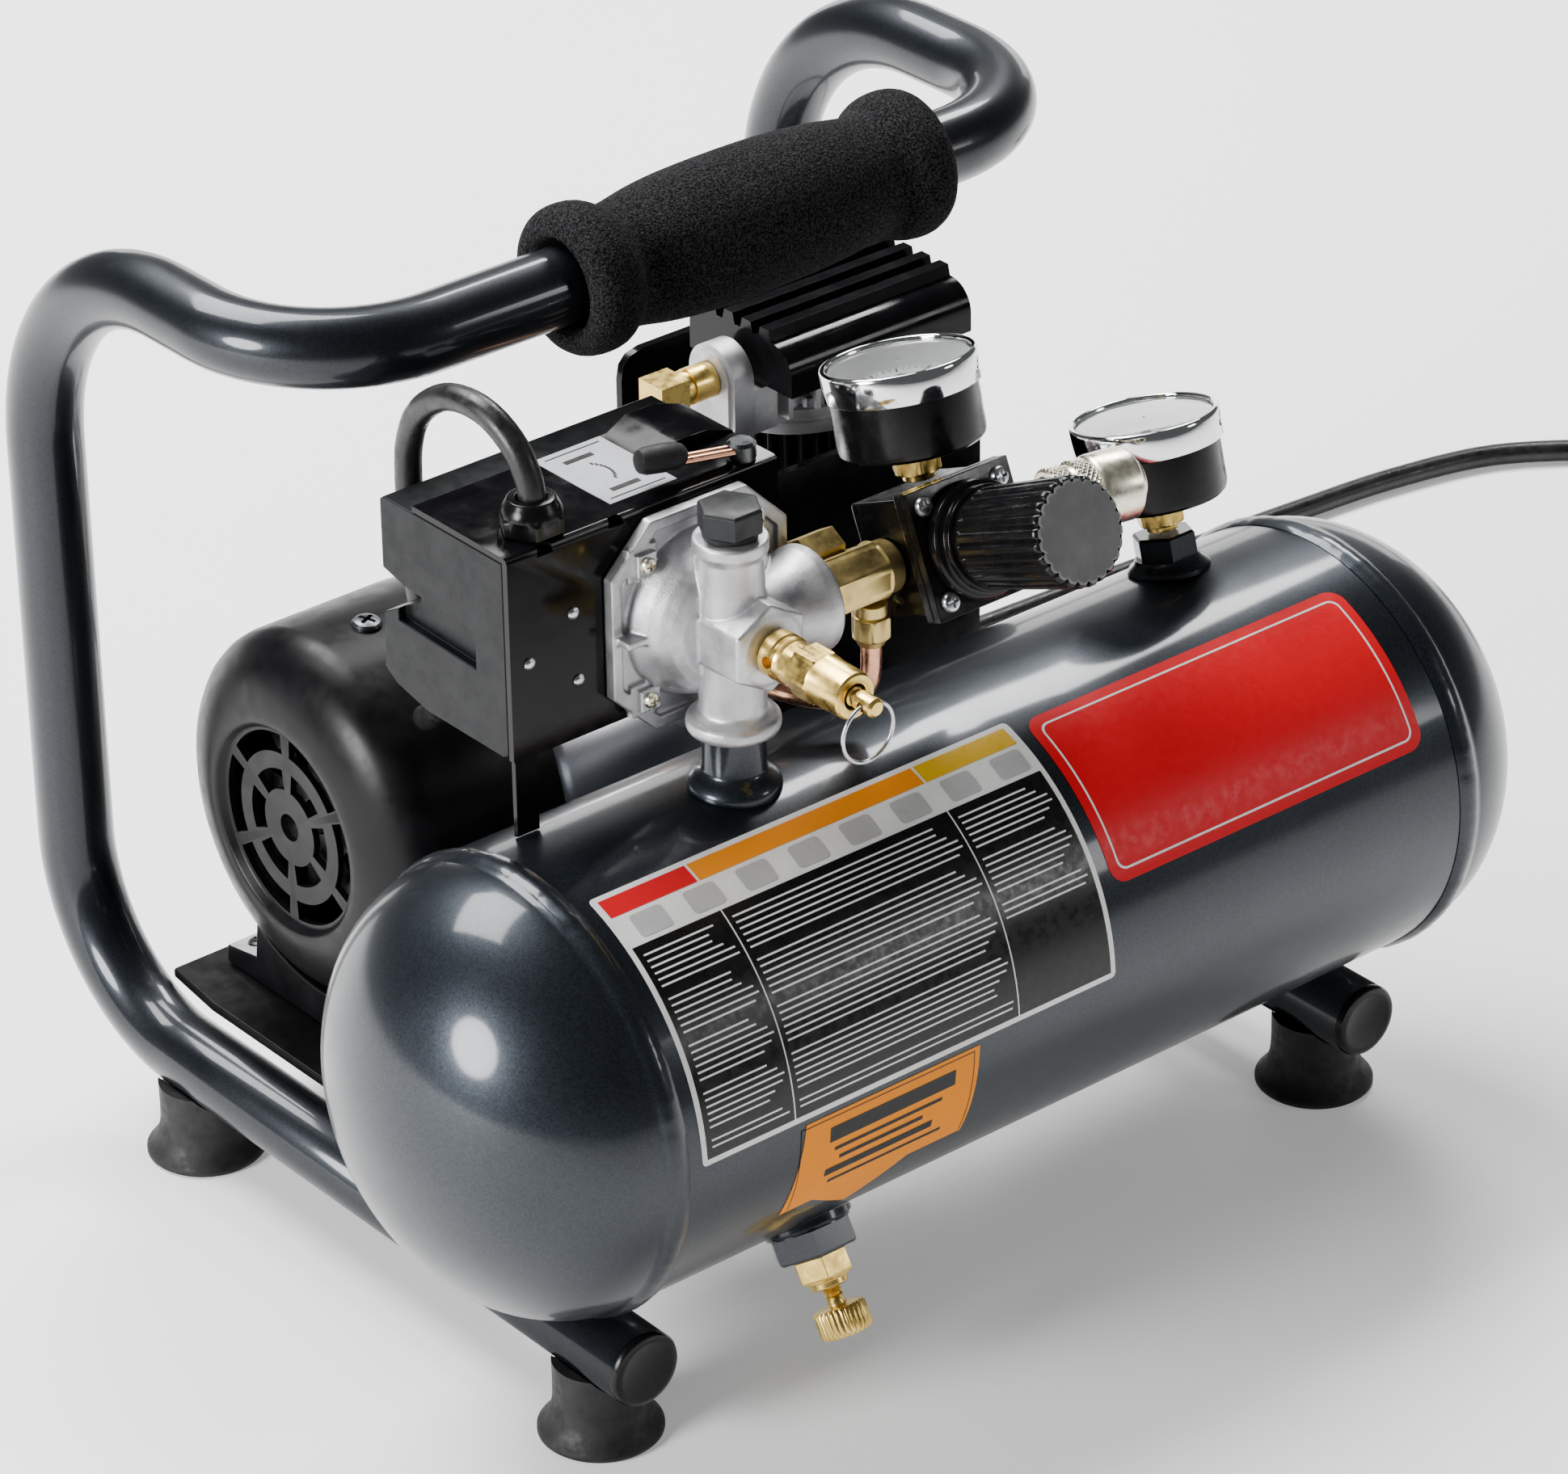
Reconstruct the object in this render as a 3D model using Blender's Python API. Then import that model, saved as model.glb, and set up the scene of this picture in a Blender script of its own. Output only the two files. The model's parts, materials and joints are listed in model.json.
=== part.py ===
"""Hotdog air compressor: one small horizontal tank, an oil-free pump and motor behind it, and a
bent carrying frame. Metres, +Z up. X runs along the tank, -Y is the side of the controls, and
the object stands on z = 0 with its footprint centred on the origin."""

from math import asin, cos, pi, radians, sin, sqrt

import bmesh
import bpy
from mathutils import Euler, Matrix, Vector

GAP = 0.0003  # clearance between two pieces that touch

# Tank
TANK_R = 0.062
TANK_WALL = 0.002
TANK_HALF = 0.1379  # centre to weld seam
HEAD_DEPTH = 0.0458
TANK_Z = 0.1026
SEAT_R = TANK_R + GAP
BEAD = 0.0017  # height of the weld bead over the shell
BEAD_LAP = 0.0035  # reach of the bead along the shell

# Frame
TUBE_R = 0.0106
TUBE_WALL = 0.0015
TUBE_X = 0.129
TUBE_Z = 0.0285
UPRIGHT_BACK = 0.2185  # upright behind the tank's axis
FRAME_FRONT = 0.033  # tube end in front of the tank's axis
FOOT_BEND = 0.050
TOP_BEND = 0.064
HANDLE_BEND = 0.042
HANDLE_Z = 0.264
HANDLE_BACK = 0.0955

# The tank's bead is the foremost point and the upright the rearmost one.
TANK_Y = -((UPRIGHT_BACK + TUBE_R) - (TANK_R + BEAD)) / 2
UPRIGHT_Y = TANK_Y + UPRIGHT_BACK
HANDLE_Y = TANK_Y + HANDLE_BACK
FEET_Y = (TANK_Y - 0.015, TANK_Y + 0.1626)
PLATE_TOP = 0.0425

# Motor and pump share one shaft
MOTOR_Y = TANK_Y + 0.137
MOTOR_Z = 0.108
MOTOR_R = 0.0535
CORE_R = MOTOR_R - 0.0025  # laminated core inside the shell
MOTOR_LEFT = -0.115
BELL_END = -0.058  # the drawn shell ends here and the bare stator shows
MOTOR_RIGHT = 0.008
PUMP_X = 0.066
CRANK = 0.005
BORE_R = 0.0135
DECK_Z = 0.140
HEAD_Z = 0.180
BOSS_Z = 0.2045  # air outlet of the head
COVER_Z = 0.2020  # lower edge of the head's cover
COVER_CROWN = 0.2192  # top of its ribs
COVER_HOLLOW = 0.0050  # depth of the recess under it

# Pressure switch
SWITCH_X = (-0.125, -0.038)
SWITCH_Z = (0.184, 0.240)
PLATE_Y = TANK_Y + 0.0173  # front face of its metal plate

# Manifold, regulator and gauges
MANIFOLD_X = -0.068
PORT_Z = 0.2095
REGULATOR_X = 0.0005
REGULATOR_TILT = radians(24)
GAUGE_LEAN = radians(15)
GAUGE_X = 0.098
COUPLER_TURN = radians(10)
DRAIN_X = -0.074
DRAIN_LEAN = radians(32.4)

# Cords
CORD_R = 0.0036
CORD_Z = CORD_R + 0.0001
COIL_CENTRE = (0.545, TANK_Y + 0.190)
COIL_R = 0.040  # middle of the turns
RELIEF_X = -0.005
RELIEF_DROP = radians(20)

TO_RIGHT = Euler((0, pi / 2, 0))
TO_FRONT = Euler((pi / 2, 0, 0))
TO_BACK = Euler((-pi / 2, 0, 0))


# ---------------------------------------------------------------- materials

def material(name, colour, roughness, metallic):
    made = bpy.data.materials.new(name)
    made.use_nodes = True
    shader = made.node_tree.nodes["Principled BSDF"]
    shader.inputs["Base Color"].default_value = (*colour, 1)
    shader.inputs["Roughness"].default_value = roughness
    shader.inputs["Metallic"].default_value = metallic
    made.diffuse_color = (*colour, 1)
    return made


def paint(name):
    return material(name, (0.085, 0.105, 0.125), 0.25, 0.6)


def black_metal(name):
    return material(name, (0.012, 0.012, 0.013), 0.35, 0.3)


def black_plastic(name):
    return material(name, (0.015, 0.015, 0.016), 0.3, 0.0)


def rubber(name):
    return material(name, (0.012, 0.012, 0.012), 0.8, 0.0)


def foam(name):
    return material(name, (0.010, 0.010, 0.010), 0.95, 0.0)


def cast_aluminium(name):
    return material(name, (0.55, 0.55, 0.56), 0.45, 0.9)


def brass(name):
    return material(name, (0.72, 0.50, 0.20), 0.25, 1.0)


def copper(name):
    return material(name, (0.70, 0.34, 0.20), 0.3, 1.0)


def steel(name):
    return material(name, (0.45, 0.46, 0.48), 0.3, 1.0)


def chrome(name):
    return material(name, (0.80, 0.81, 0.83), 0.08, 1.0)


def nickel(name):
    return material(name, (0.66, 0.63, 0.55), 0.25, 1.0)


def red_enamel(name):
    return material(name, (0.45, 0.02, 0.02), 0.4, 0.0)


# ---------------------------------------------------------------- shape helpers

def finish(name, mesh, look, place=(0, 0, 0), turn=None):
    """A named, shaded object of one mesh, with its material, at its place."""
    made = bpy.data.objects.new(name, mesh)
    bpy.context.scene.collection.objects.link(made)
    made.data.materials.append(look(name + "_finish"))
    made.location = place
    if turn is not None:
        made.rotation_euler = turn
    for face in mesh.polygons:
        face.use_smooth = True
    mesh.set_sharp_from_angle(angle=radians(35))
    return made


def to_mesh(name, bm):
    bmesh.ops.recalc_face_normals(bm, faces=bm.faces)
    mesh = bpy.data.meshes.new(name)
    bm.to_mesh(mesh)
    bm.free()
    return mesh


def round_section(angle):
    return 1.0


def polygon_section(flats, turn=0.0):
    """Radius factor of a regular polygon, from its corners' circle, with a flat facing up
    unless it's turned."""
    half = pi / flats

    def factor(angle):
        return cos(half) / cos((angle - turn + half - pi / 2) % (2 * half) - half)

    return factor


HEX = polygon_section(6)
HEX_CORNER_UP = polygon_section(6, pi / 6)
SQUARE = polygon_section(4)


def fluted_section(flutes, depth, sides):
    """Radius factor that drops by depth on every other point of the ring."""
    step = sides // flutes

    def factor(angle):
        index = round(angle / (2 * pi) * sides)
        return 1.0 if index % step < step / 2 else 1.0 - depth

    return factor


def turned_bm(rings, sides, closed=False):
    """Rings (height, radius[, section[, offset in Y]]) along Z, bridged into one skin. A closed
    stack joins its last ring to its first, which leaves a bore; an open one is capped."""
    bm = bmesh.new()
    loops = []
    for ring in rings:
        height, radius = ring[:2]
        section = ring[2] if len(ring) > 2 else round_section
        offset = ring[3] if len(ring) > 3 else 0.0
        loop = []
        for index in range(sides):
            angle = 2 * pi * index / sides
            reach = radius * section(angle)
            loop.append(bm.verts.new((reach * cos(angle), reach * sin(angle) + offset, height)))
        loops.append(loop)
    pairs = list(zip(loops, loops[1:]))
    if closed:
        pairs.append((loops[-1], loops[0]))
    for low, high in pairs:
        for index in range(sides):
            after = (index + 1) % sides
            bm.faces.new((low[index], low[after], high[after], high[index]))
    if not closed:
        bm.faces.new(loops[0])
        bm.faces.new(loops[-1])
    return bm


def turned(name, rings, sides, look, place=(0, 0, 0), turn=None, closed=False):
    mesh = to_mesh(name, turned_bm(rings, sides, closed))
    return finish(name, mesh, look, place, turn)


def add_prism(bm, outline, low, high, axis):
    """An outline in the two other axes, in their order, pushed from low to high along axis."""
    corners = []
    for first, second in outline:
        point = [first, second]
        point.insert(axis, low)
        corners.append(bm.verts.new(point))
    face = bm.faces.new(corners)
    pushed = bmesh.ops.extrude_face_region(bm, geom=[face])
    moved = [item for item in pushed["geom"] if isinstance(item, bmesh.types.BMVert)]
    shift = Vector((0, 0, 0))
    shift[axis] = high - low
    bmesh.ops.translate(bm, verts=moved, vec=shift)


def prism(name, outline, low, high, axis, look, place=(0, 0, 0), turn=None):
    bm = bmesh.new()
    add_prism(bm, outline, low, high, axis)
    return finish(name, to_mesh(name, bm), look, place, turn)


def add_box(bm, low, high):
    size = Vector(high) - Vector(low)
    centre = (Vector(high) + Vector(low)) / 2
    matrix = Matrix.Translation(centre) @ Matrix.Diagonal((*size, 1))
    bmesh.ops.create_cube(bm, size=1, matrix=matrix)


def box(name, low, high, look):
    bm = bmesh.new()
    add_box(bm, low, high)
    return finish(name, to_mesh(name, bm), look)


def helper(bm, name, place=(0, 0, 0), turn=None):
    """A hidden body for a Boolean."""
    made = bpy.data.objects.new(name, to_mesh(name, bm))
    bpy.context.scene.collection.objects.link(made)
    made.location = place
    if turn is not None:
        made.rotation_euler = turn
    made.hide_render = True
    made.display_type = "WIRE"
    return made


def combine(target, other, operation):
    step = target.modifiers.new(operation.lower(), "BOOLEAN")
    step.object = other
    step.operation = operation
    step.solver = "EXACT"


def cut(target, bm, place=(0, 0, 0), turn=None):
    combine(target, helper(bm, target.name + "_cutter", place, turn), "DIFFERENCE")


def join(target, bm, place=(0, 0, 0), turn=None):
    combine(target, helper(bm, target.name + "_addition", place, turn), "UNION")


def cylinder_bm(radius, low, high, sides=24):
    return turned_bm([(low, radius), (high, radius)], sides)


def arc(centre, start, end, count):
    """Points of the quarter turn that leaves start towards the corner and arrives at end."""
    centre = Vector(centre)
    first = Vector(start) - centre
    last = Vector(end) - centre
    return [centre + first * cos(pi / 2 * i / count) + last * sin(pi / 2 * i / count)
            for i in range(count + 1)]


def smooth_route(points, spacing):
    """Even points on a Catmull-Rom curve through the route's own points."""
    points = [Vector(point) for point in points]
    ends = [2 * points[0] - points[1], *points, 2 * points[-1] - points[-2]]
    fine = []
    for before, start, end, after in zip(ends, ends[1:], ends[2:], ends[3:]):
        for step in range(20):
            t = step / 20
            fine.append(0.5 * (2 * start + (end - before) * t
                               + (2 * before - 5 * start + 4 * end - after) * t ** 2
                               + (3 * start - before - 3 * end + after) * t ** 3))
    fine.append(points[-1])
    length = sum((b - a).length for a, b in zip(fine, fine[1:]))
    count = max(2, round(length / spacing))
    even = [fine[0]]
    walked = 0.0
    for start, end in zip(fine, fine[1:]):
        walked += (end - start).length
        if walked >= length * len(even) / count and len(even) < count:
            even.append(end)
    return even + [fine[-1]]


def tube(name, points, radius, look, resolution=3, wall=0.0):
    """A round tube along its points: solid with filled caps, or open with a wall."""
    curve = bpy.data.curves.new(name, "CURVE")
    curve.dimensions = "3D"
    curve.bevel_depth = radius
    curve.bevel_resolution = resolution
    curve.use_fill_caps = not wall
    spline = curve.splines.new("POLY")
    spline.points.add(len(points) - 1)
    for target, point in zip(spline.points, points):
        target.co = (*point, 1)
    made = bpy.data.objects.new(name, curve)
    bpy.context.scene.collection.objects.link(made)
    curve.materials.append(look(name + "_finish"))
    if wall:
        skin = made.modifiers.new("wall", "SOLIDIFY")
        skin.thickness = wall
        skin.offset = -1
    return made


def on_tank(lean):
    """A point of the tank's surface at its middle, lean radians behind the top."""
    return TANK_Y + TANK_R * sin(lean), TANK_Z + TANK_R * cos(lean)


def seat_on_tank(target):
    """Cuts the foot of a fitting to the tank's curve."""
    cut(target, cylinder_bm(SEAT_R, -0.16, 0.16, 64), (0, TANK_Y, TANK_Z), TO_RIGHT)


# ---------------------------------------------------------------- tank

def tank():
    outer = TANK_R
    inner = TANK_R - TANK_WALL
    half = TANK_HALF - GAP / 2
    rings = [(-half, outer), (half, outer), (half, inner), (-half, inner)]
    shell = turned("tank_shell", rings, 36, paint, (0, TANK_Y, TANK_Z), TO_RIGHT, closed=True)
    for place, lean in ((MANIFOLD_X, 0), (GAUGE_X, GAUGE_LEAN), (DRAIN_X, pi + DRAIN_LEAN)):
        port = cylinder_bm(0.004, TANK_R - 0.006, TANK_R + 0.004, 12)
        cut(shell, port, (place, TANK_Y, TANK_Z), Euler((-lean, 0, 0)))
    for side, name in ((-1, "tank_head_left"), (1, "tank_head_right")):
        tank_head(name, side)


def dome(radius, depth, steps):
    """Rings of a flattened dome, from its rim to the small flat at its tip."""
    rings = []
    for index in range(steps + 1):
        angle = radians(84) * index / steps
        rings.append((depth * sin(angle) / sin(radians(84)), radius * cos(angle)))
    return rings


def tank_head(name, side):
    """A dished head with the weld bead that laps over the shell's end."""
    rise = GAP / 2
    inner = dome(TANK_R - TANK_WALL, HEAD_DEPTH - TANK_WALL, 3)
    outer = dome(TANK_R, HEAD_DEPTH, 5)
    bead = [(0, TANK_R + GAP), (-BEAD_LAP, TANK_R + GAP), (-0.7 * BEAD_LAP, TANK_R + 0.85 * BEAD),
            (0, TANK_R + BEAD), (0.8 * BEAD_LAP, TANK_R + 0.7 * BEAD), (1.2 * BEAD_LAP, TANK_R - GAP)]
    rings = [(height + rise, radius) for height, radius in [*reversed(inner), *bead, *outer[1:]]]
    turn = Euler((0, side * pi / 2, 0))
    turned(name, rings, 36, paint, (side * TANK_HALF, TANK_Y, TANK_Z), turn)


def gauge_bung():
    rings = [(-0.003, 0.0115), (0.0012, 0.0115), (0.0038, 0.0088), (0.0038, 0.0090, HEX),
             (0.0098, 0.0090, HEX), (0.0105, 0.0083, HEX)]
    y, z = on_tank(GAUGE_LEAN)
    bung = turned("gauge_bung", rings, 24, paint, (GAUGE_X, y, z), Euler((-GAUGE_LEAN, 0, 0)))
    seat_on_tank(bung)


def drain():
    lean = pi + DRAIN_LEAN
    y, z = on_tank(lean)
    place = (DRAIN_X, y, z)
    turn = Euler((-lean, 0, 0))
    bung = turned("drain_bung", [(-0.004, 0.0125), (0.0015, 0.0125), (0.0022, 0.0122, HEX),
                                 (0.0085, 0.0122, HEX), (0.0092, 0.0114, HEX)],
                  24, paint, place, turn)
    seat_on_tank(bung)
    turned("drain_fitting", [(0.0125, 0.0030), (0.0185, 0.0030), (0.0185, 0.0052),
                             (0.0162, 0.0052), (0.0158, 0.0080, HEX), (0.0095, 0.0080, HEX)],
           24, brass, place, turn)
    knurl = fluted_section(15, 0.06, 30)
    turned("drain_screw", [(0.0130, 0.0026), (0.0240, 0.0026), (0.0240, 0.0064),
                           (0.0248, 0.0072, knurl), (0.0312, 0.0072, knurl), (0.0320, 0.0062)],
           30, brass, place, turn)


# ---------------------------------------------------------------- frame

def frame_path():
    """Centreline from the left front end to the right front end, both sides alike."""
    corner = UPRIGHT_Y - FOOT_BEND
    top = UPRIGHT_Y - TOP_BEND
    left = [Vector((-TUBE_X, TANK_Y - FRAME_FRONT, TUBE_Z))]
    left += arc((-TUBE_X, corner, TUBE_Z + FOOT_BEND), (-TUBE_X, corner, TUBE_Z),
                (-TUBE_X, UPRIGHT_Y, TUBE_Z + FOOT_BEND), 5)
    left += arc((-TUBE_X, top, HANDLE_Z - TOP_BEND), (-TUBE_X, UPRIGHT_Y, HANDLE_Z - TOP_BEND),
                (-TUBE_X, top, HANDLE_Z), 5)
    inward = -TUBE_X + HANDLE_BEND
    left += arc((inward, HANDLE_Y + HANDLE_BEND, HANDLE_Z),
                (-TUBE_X, HANDLE_Y + HANDLE_BEND, HANDLE_Z), (inward, HANDLE_Y, HANDLE_Z), 5)
    right = [Vector((-point.x, point.y, point.z)) for point in reversed(left)]
    return left + right


def frame():
    tube("frame_tube", frame_path(), TUBE_R, paint, resolution=3, wall=TUBE_WALL)
    for side, name in ((-1, "left"), (1, "right")):
        end = (side * TUBE_X, TANK_Y - FRAME_FRONT - GAP, TUBE_Z)
        turned("tube_cap_" + name, [(-0.008, 0.0078), (0, 0.0082), (0, 0.0106), (0.0012, 0.0106),
                                    (0.0022, 0.0090)],
               20, black_plastic, end, TO_FRONT)
        saddle(side, "saddle_" + name)
        for end_name, y in zip(("front_", "rear_"), FEET_Y):
            foot("foot_" + end_name + name, side * TUBE_X, y)


def foot(name, x, y):
    """A rubber foot with a flared rim, hollow underneath and cupped round the tube on top."""
    rings = [(0.0026, 0.0040), (0, 0.0135), (0, 0.0166), (0.0016, 0.0168), (0.0042, 0.0146),
             (0.0080, 0.0127), (0.0225, 0.0125)]
    made = turned(name, rings, 20, rubber, (x, y, 0))
    cut(made, cylinder_bm(TUBE_R + 0.0004, -0.03, 0.03), (x, y, TUBE_Z), TO_BACK)


def saddle(side, name):
    """The welded pad between the tank and one foot tube."""
    base = TUBE_Z + TUBE_R + GAP
    x = side * (TUBE_X - 0.0020)
    half = 0.0065
    made = box(name, (x - half, TANK_Y - 0.015, base), (x + half, TANK_Y + 0.015, base + 0.0055),
               paint)
    seat_on_tank(made)


def motor_plate():
    """Flat plate on the foot tubes, narrower at the back where the tubes rise beside it."""
    front = TANK_Y + 0.060
    bend = TANK_Y + 0.1665
    rear = TANK_Y + 0.1886
    wide = 0.122
    narrow = 0.1194
    outline = [(-wide, front), (wide, front), (wide, bend), (narrow, rear), (-narrow, rear),
               (-wide, bend)]
    prism("motor_plate", outline, PLATE_TOP - 0.003, PLATE_TOP, 2, black_metal)


def handle_grip():
    """Foam sleeve: a collar at each end, a groove beside it and a swelling palm between them."""
    length = 0.123
    half = length / 2
    shift = 0.0145  # the sleeve sits nearer the right upright
    side = [(half, 0.0135), (half, 0.0175), (half - 0.003, 0.0204), (half - 0.008, 0.0210),
            (half - 0.013, 0.0202), (half - 0.0165, 0.0170), (half - 0.024, 0.0178),
            (half - 0.038, 0.0196), (0.006, 0.0203)]
    outer = [(-height, radius) for height, radius in side]
    outer += list(reversed(side))
    rings = [(-half, 0.0111), *outer, (half, 0.0111)]
    turned("handle_grip", rings, 20, foam, (shift, HANDLE_Y, HANDLE_Z), TO_RIGHT, closed=True)


# ---------------------------------------------------------------- motor

def sector(bm, inner, outer, middle, spread, low, high):
    """A piece of a ring about Z, as a cutter for one vent."""
    steps = 3
    angles = [middle - spread / 2 + spread * i / steps for i in range(steps + 1)]
    outline = [(outer * cos(a), outer * sin(a)) for a in angles]
    outline += [(inner * cos(a), inner * sin(a)) for a in reversed(angles)]
    add_prism(bm, outline, low, high, 2)


def motor_shell():
    """Drawn shell along X with a rounded, vented end bell on the left, open on the right."""
    length = BELL_END - MOTOR_LEFT
    rings = [(0.0025, 0.0040), (0.0025, 0.0294), (0, 0.0311), (0, 0.0330), (0.0018, 0.0405),
             (0.0060, 0.0484), (0.0150, MOTOR_R), (length, MOTOR_R),
             (length, MOTOR_R - 0.002), (0.0150, MOTOR_R - 0.002), (0.0080, 0.0465),
             (0.0045, 0.0380), (0.0045, 0.0040)]
    shell = turned("motor_shell", rings, 36, black_metal, (MOTOR_LEFT, MOTOR_Y, MOTOR_Z), TO_RIGHT,
                   closed=True)
    vents = bmesh.new()
    for index in range(6):
        middle = 2 * pi * (index + 0.5) / 6
        sector(vents, 0.0222, 0.0281, middle, radians(52), -0.002, 0.008)
        sector(vents, 0.0112, 0.0172, middle, radians(46), -0.002, 0.008)
    cut(shell, vents, (MOTOR_LEFT, MOTOR_Y, MOTOR_Z), TO_RIGHT)


def motor_stator():
    """Core inside the shell, and the bare band that carries on from the shell to the pump."""
    start = BELL_END + GAP
    rings = [(-0.075, 0.0280), (-0.075, CORE_R), (start, CORE_R), (start, MOTOR_R),
             (MOTOR_RIGHT, MOTOR_R), (MOTOR_RIGHT, CORE_R), (-0.025, CORE_R), (-0.025, 0.0280)]
    turned("motor_stator", rings, 36, steel, (0, MOTOR_Y, MOTOR_Z), TO_RIGHT, closed=True)


def crankshaft():
    """Shaft, rotor core and crank in one piece. The crank pin stands CRANK off the axis."""
    shaft = 0.0048
    rings = [(-0.108, shaft), (-0.074, shaft), (-0.074, 0.0270), (-0.026, 0.0270), (-0.026, shaft),
             (0.0585, shaft), (0.0585, 0.0125), (0.0612, 0.0125),
             (0.0612, 0.0040, round_section, CRANK), (0.0708, 0.0040, round_section, CRANK),
             (0.0708, 0.0125), (0.0735, 0.0125), (0.0735, shaft), (0.0995, shaft)]
    turned("crankshaft", rings, 16, steel, (0, MOTOR_Y, MOTOR_Z), TO_RIGHT)


def fan(name, x, width, radius, blades, look):
    """A star wheel that rides on the shaft."""
    sides = blades * 4
    section = fluted_section(blades, 0.62, sides)
    hole = 0.0051
    rings = [(0, hole), (0, radius, section), (width, radius, section), (width, hole)]
    turned(name, rings, sides, look, (x, MOTOR_Y, MOTOR_Z), TO_RIGHT, closed=True)


def motor_foot():
    """Cast cradle under the motor's left end, with a pad on each side."""
    base = PLATE_TOP + GAP
    lug = 0.044
    shoulder = 0.030
    crest = 0.026
    top = 0.086
    outline = [(-lug, base), (lug, base), (lug, base + 0.0055), (shoulder, base + 0.0080),
               (crest, top), (-crest, top), (-shoulder, base + 0.0080), (-lug, base + 0.0055)]
    made = prism("motor_foot", outline, -0.106, -0.092, 0, cast_aluminium, (0, MOTOR_Y, 0))
    cut(made, cylinder_bm(MOTOR_R + 0.0005, -0.12, -0.06, 48), (0, MOTOR_Y, MOTOR_Z), TO_RIGHT)


# ---------------------------------------------------------------- pump

def crankcase():
    base = PLATE_TOP + GAP
    outline = [(-0.033, base), (0.033, base), (0.033, base + 0.006), (0.027, base + 0.011),
               (0.027, 0.132), (0.020, DECK_Z), (-0.020, DECK_Z), (-0.027, 0.132),
               (-0.027, base + 0.011), (-0.033, base + 0.006)]
    made = prism("crankcase", outline, 0.014, 0.090, 0, cast_aluminium, (0, MOTOR_Y, 0))
    hollow = bmesh.new()
    add_box(hollow, (0.020, -0.0215, 0.082), (0.095, 0.0215, 0.1345))
    add_box(hollow, (0.020, -0.0215, 0.040), (0.084, 0.0215, 0.076))
    cut(made, hollow, (0, MOTOR_Y, 0))
    cut(made, cylinder_bm(0.0052, 0.010, 0.030, 20), (0, MOTOR_Y, MOTOR_Z), TO_RIGHT)
    cut(made, cylinder_bm(BORE_R + 0.0004, 0.125, 0.150, 32), (PUMP_X, MOTOR_Y, 0))


def wobble_piston():
    """Connecting ring, rod and piston in one piece, as on an oil-free pump."""
    ring = [(-0.0040, 0.0143), (-0.0040, 0.0180), (0.0040, 0.0180), (0.0040, 0.0143)]
    place = (PUMP_X, MOTOR_Y, MOTOR_Z)
    made = turned("wobble_piston", ring, 20, cast_aluminium, place, TO_RIGHT, closed=True)
    rod = bmesh.new()
    add_box(rod, (-0.0032, -0.0045, 0.0165), (0.0032, 0.0045, 0.0600))
    join(made, rod, place)
    piston = turned_bm([(0.0580, 0.0100), (0.0600, 0.0131), (0.0665, 0.0131)], 20)
    join(made, piston, place)


def cylinder_barrel():
    fins = fluted_section(18, 0.09, 36)
    low = DECK_Z + GAP
    high = HEAD_Z - GAP
    rings = [(low, BORE_R), (low, 0.0186, fins), (high, 0.0186, fins), (high, BORE_R)]
    turned("cylinder_barrel", rings, 36, black_metal, (PUMP_X, MOTOR_Y, 0), closed=True)


def cylinder_head():
    """Round grooved flange on the barrel, the valve chest above it, and at the left a neck that
    ends in an arched outlet boss."""
    place = (PUMP_X, MOTOR_Y, 0)
    rim = 0.0250
    groove = 0.0242
    crown = COVER_Z - 0.0015
    rings = [(0, rim), (0.0040, rim), (0.0042, groove), (0.0048, groove), (0.0050, rim),
             (0.0080, rim), (0.0085, groove)]
    made = turned("cylinder_head", [(HEAD_Z + z, r) for z, r in rings], 36, cast_aluminium, place)
    chest = bmesh.new()
    add_box(chest, (-0.0300, -0.0190, HEAD_Z + 0.0060), (0.0300, 0.0040, crown))
    join(made, chest, place)
    flank = bmesh.new()
    add_box(flank, (-0.0250, -0.0195, HEAD_Z + 0.0062), (0.0250, 0.0035, COVER_Z + COVER_HOLLOW - GAP))
    join(made, flank, place)
    neck = bmesh.new()
    add_box(neck, (-0.0400, -0.0225, HEAD_Z + 0.0070), (-0.0280, -0.0075, crown - 0.0002))
    join(made, neck, place)
    boss = bmesh.new()
    radius = 0.0098
    arch = [(radius * cos(a), radius * sin(a)) for a in (radians(18 * i) for i in range(11))]
    foot = HEAD_Z + 0.0060 - BOSS_Z
    hip = foot + 0.0060
    add_prism(boss, [(0.7 * radius, foot), (radius, hip), *arch, (-radius, hip),
                     (-0.7 * radius, foot)], -0.0420, -0.0340, 0)
    join(made, boss, (PUMP_X, MOTOR_Y - 0.015, BOSS_Z))


def head_cover():
    """Black ribbed cover over the head: the ribs run along X."""
    front, rear = -0.036, 0.008  # from the motor's axis
    low = COVER_Z
    top = 0.2160
    front_bend, rear_bend = 0.0085, 0.0060
    turns = (0, radians(30), radians(60), radians(90))
    outline = [(front, low)]
    outline += [(front + front_bend * (1 - cos(a)), top - front_bend * (1 - sin(a))) for a in turns]
    for rib in (-0.0245, -0.0168, -0.0091, -0.0014):
        outline += [(rib - 0.0026, top), (rib - 0.0016, COVER_CROWN), (rib + 0.0016, COVER_CROWN),
                    (rib + 0.0026, top)]
    outline += [(rear - rear_bend * (1 - cos(a)), top - rear_bend * (1 - sin(a)))
                for a in reversed(turns)]
    outline += [(rear, low)]
    made = prism("head_cover", outline, 0.036, 0.101, 0, black_plastic, (0, MOTOR_Y, 0))
    hollow = bmesh.new()
    add_box(hollow, (0.0385, front + 0.0025, low - 0.002), (0.0985, rear - 0.0025, low + COVER_HOLLOW))
    cut(made, hollow, (0, MOTOR_Y, 0))


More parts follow.
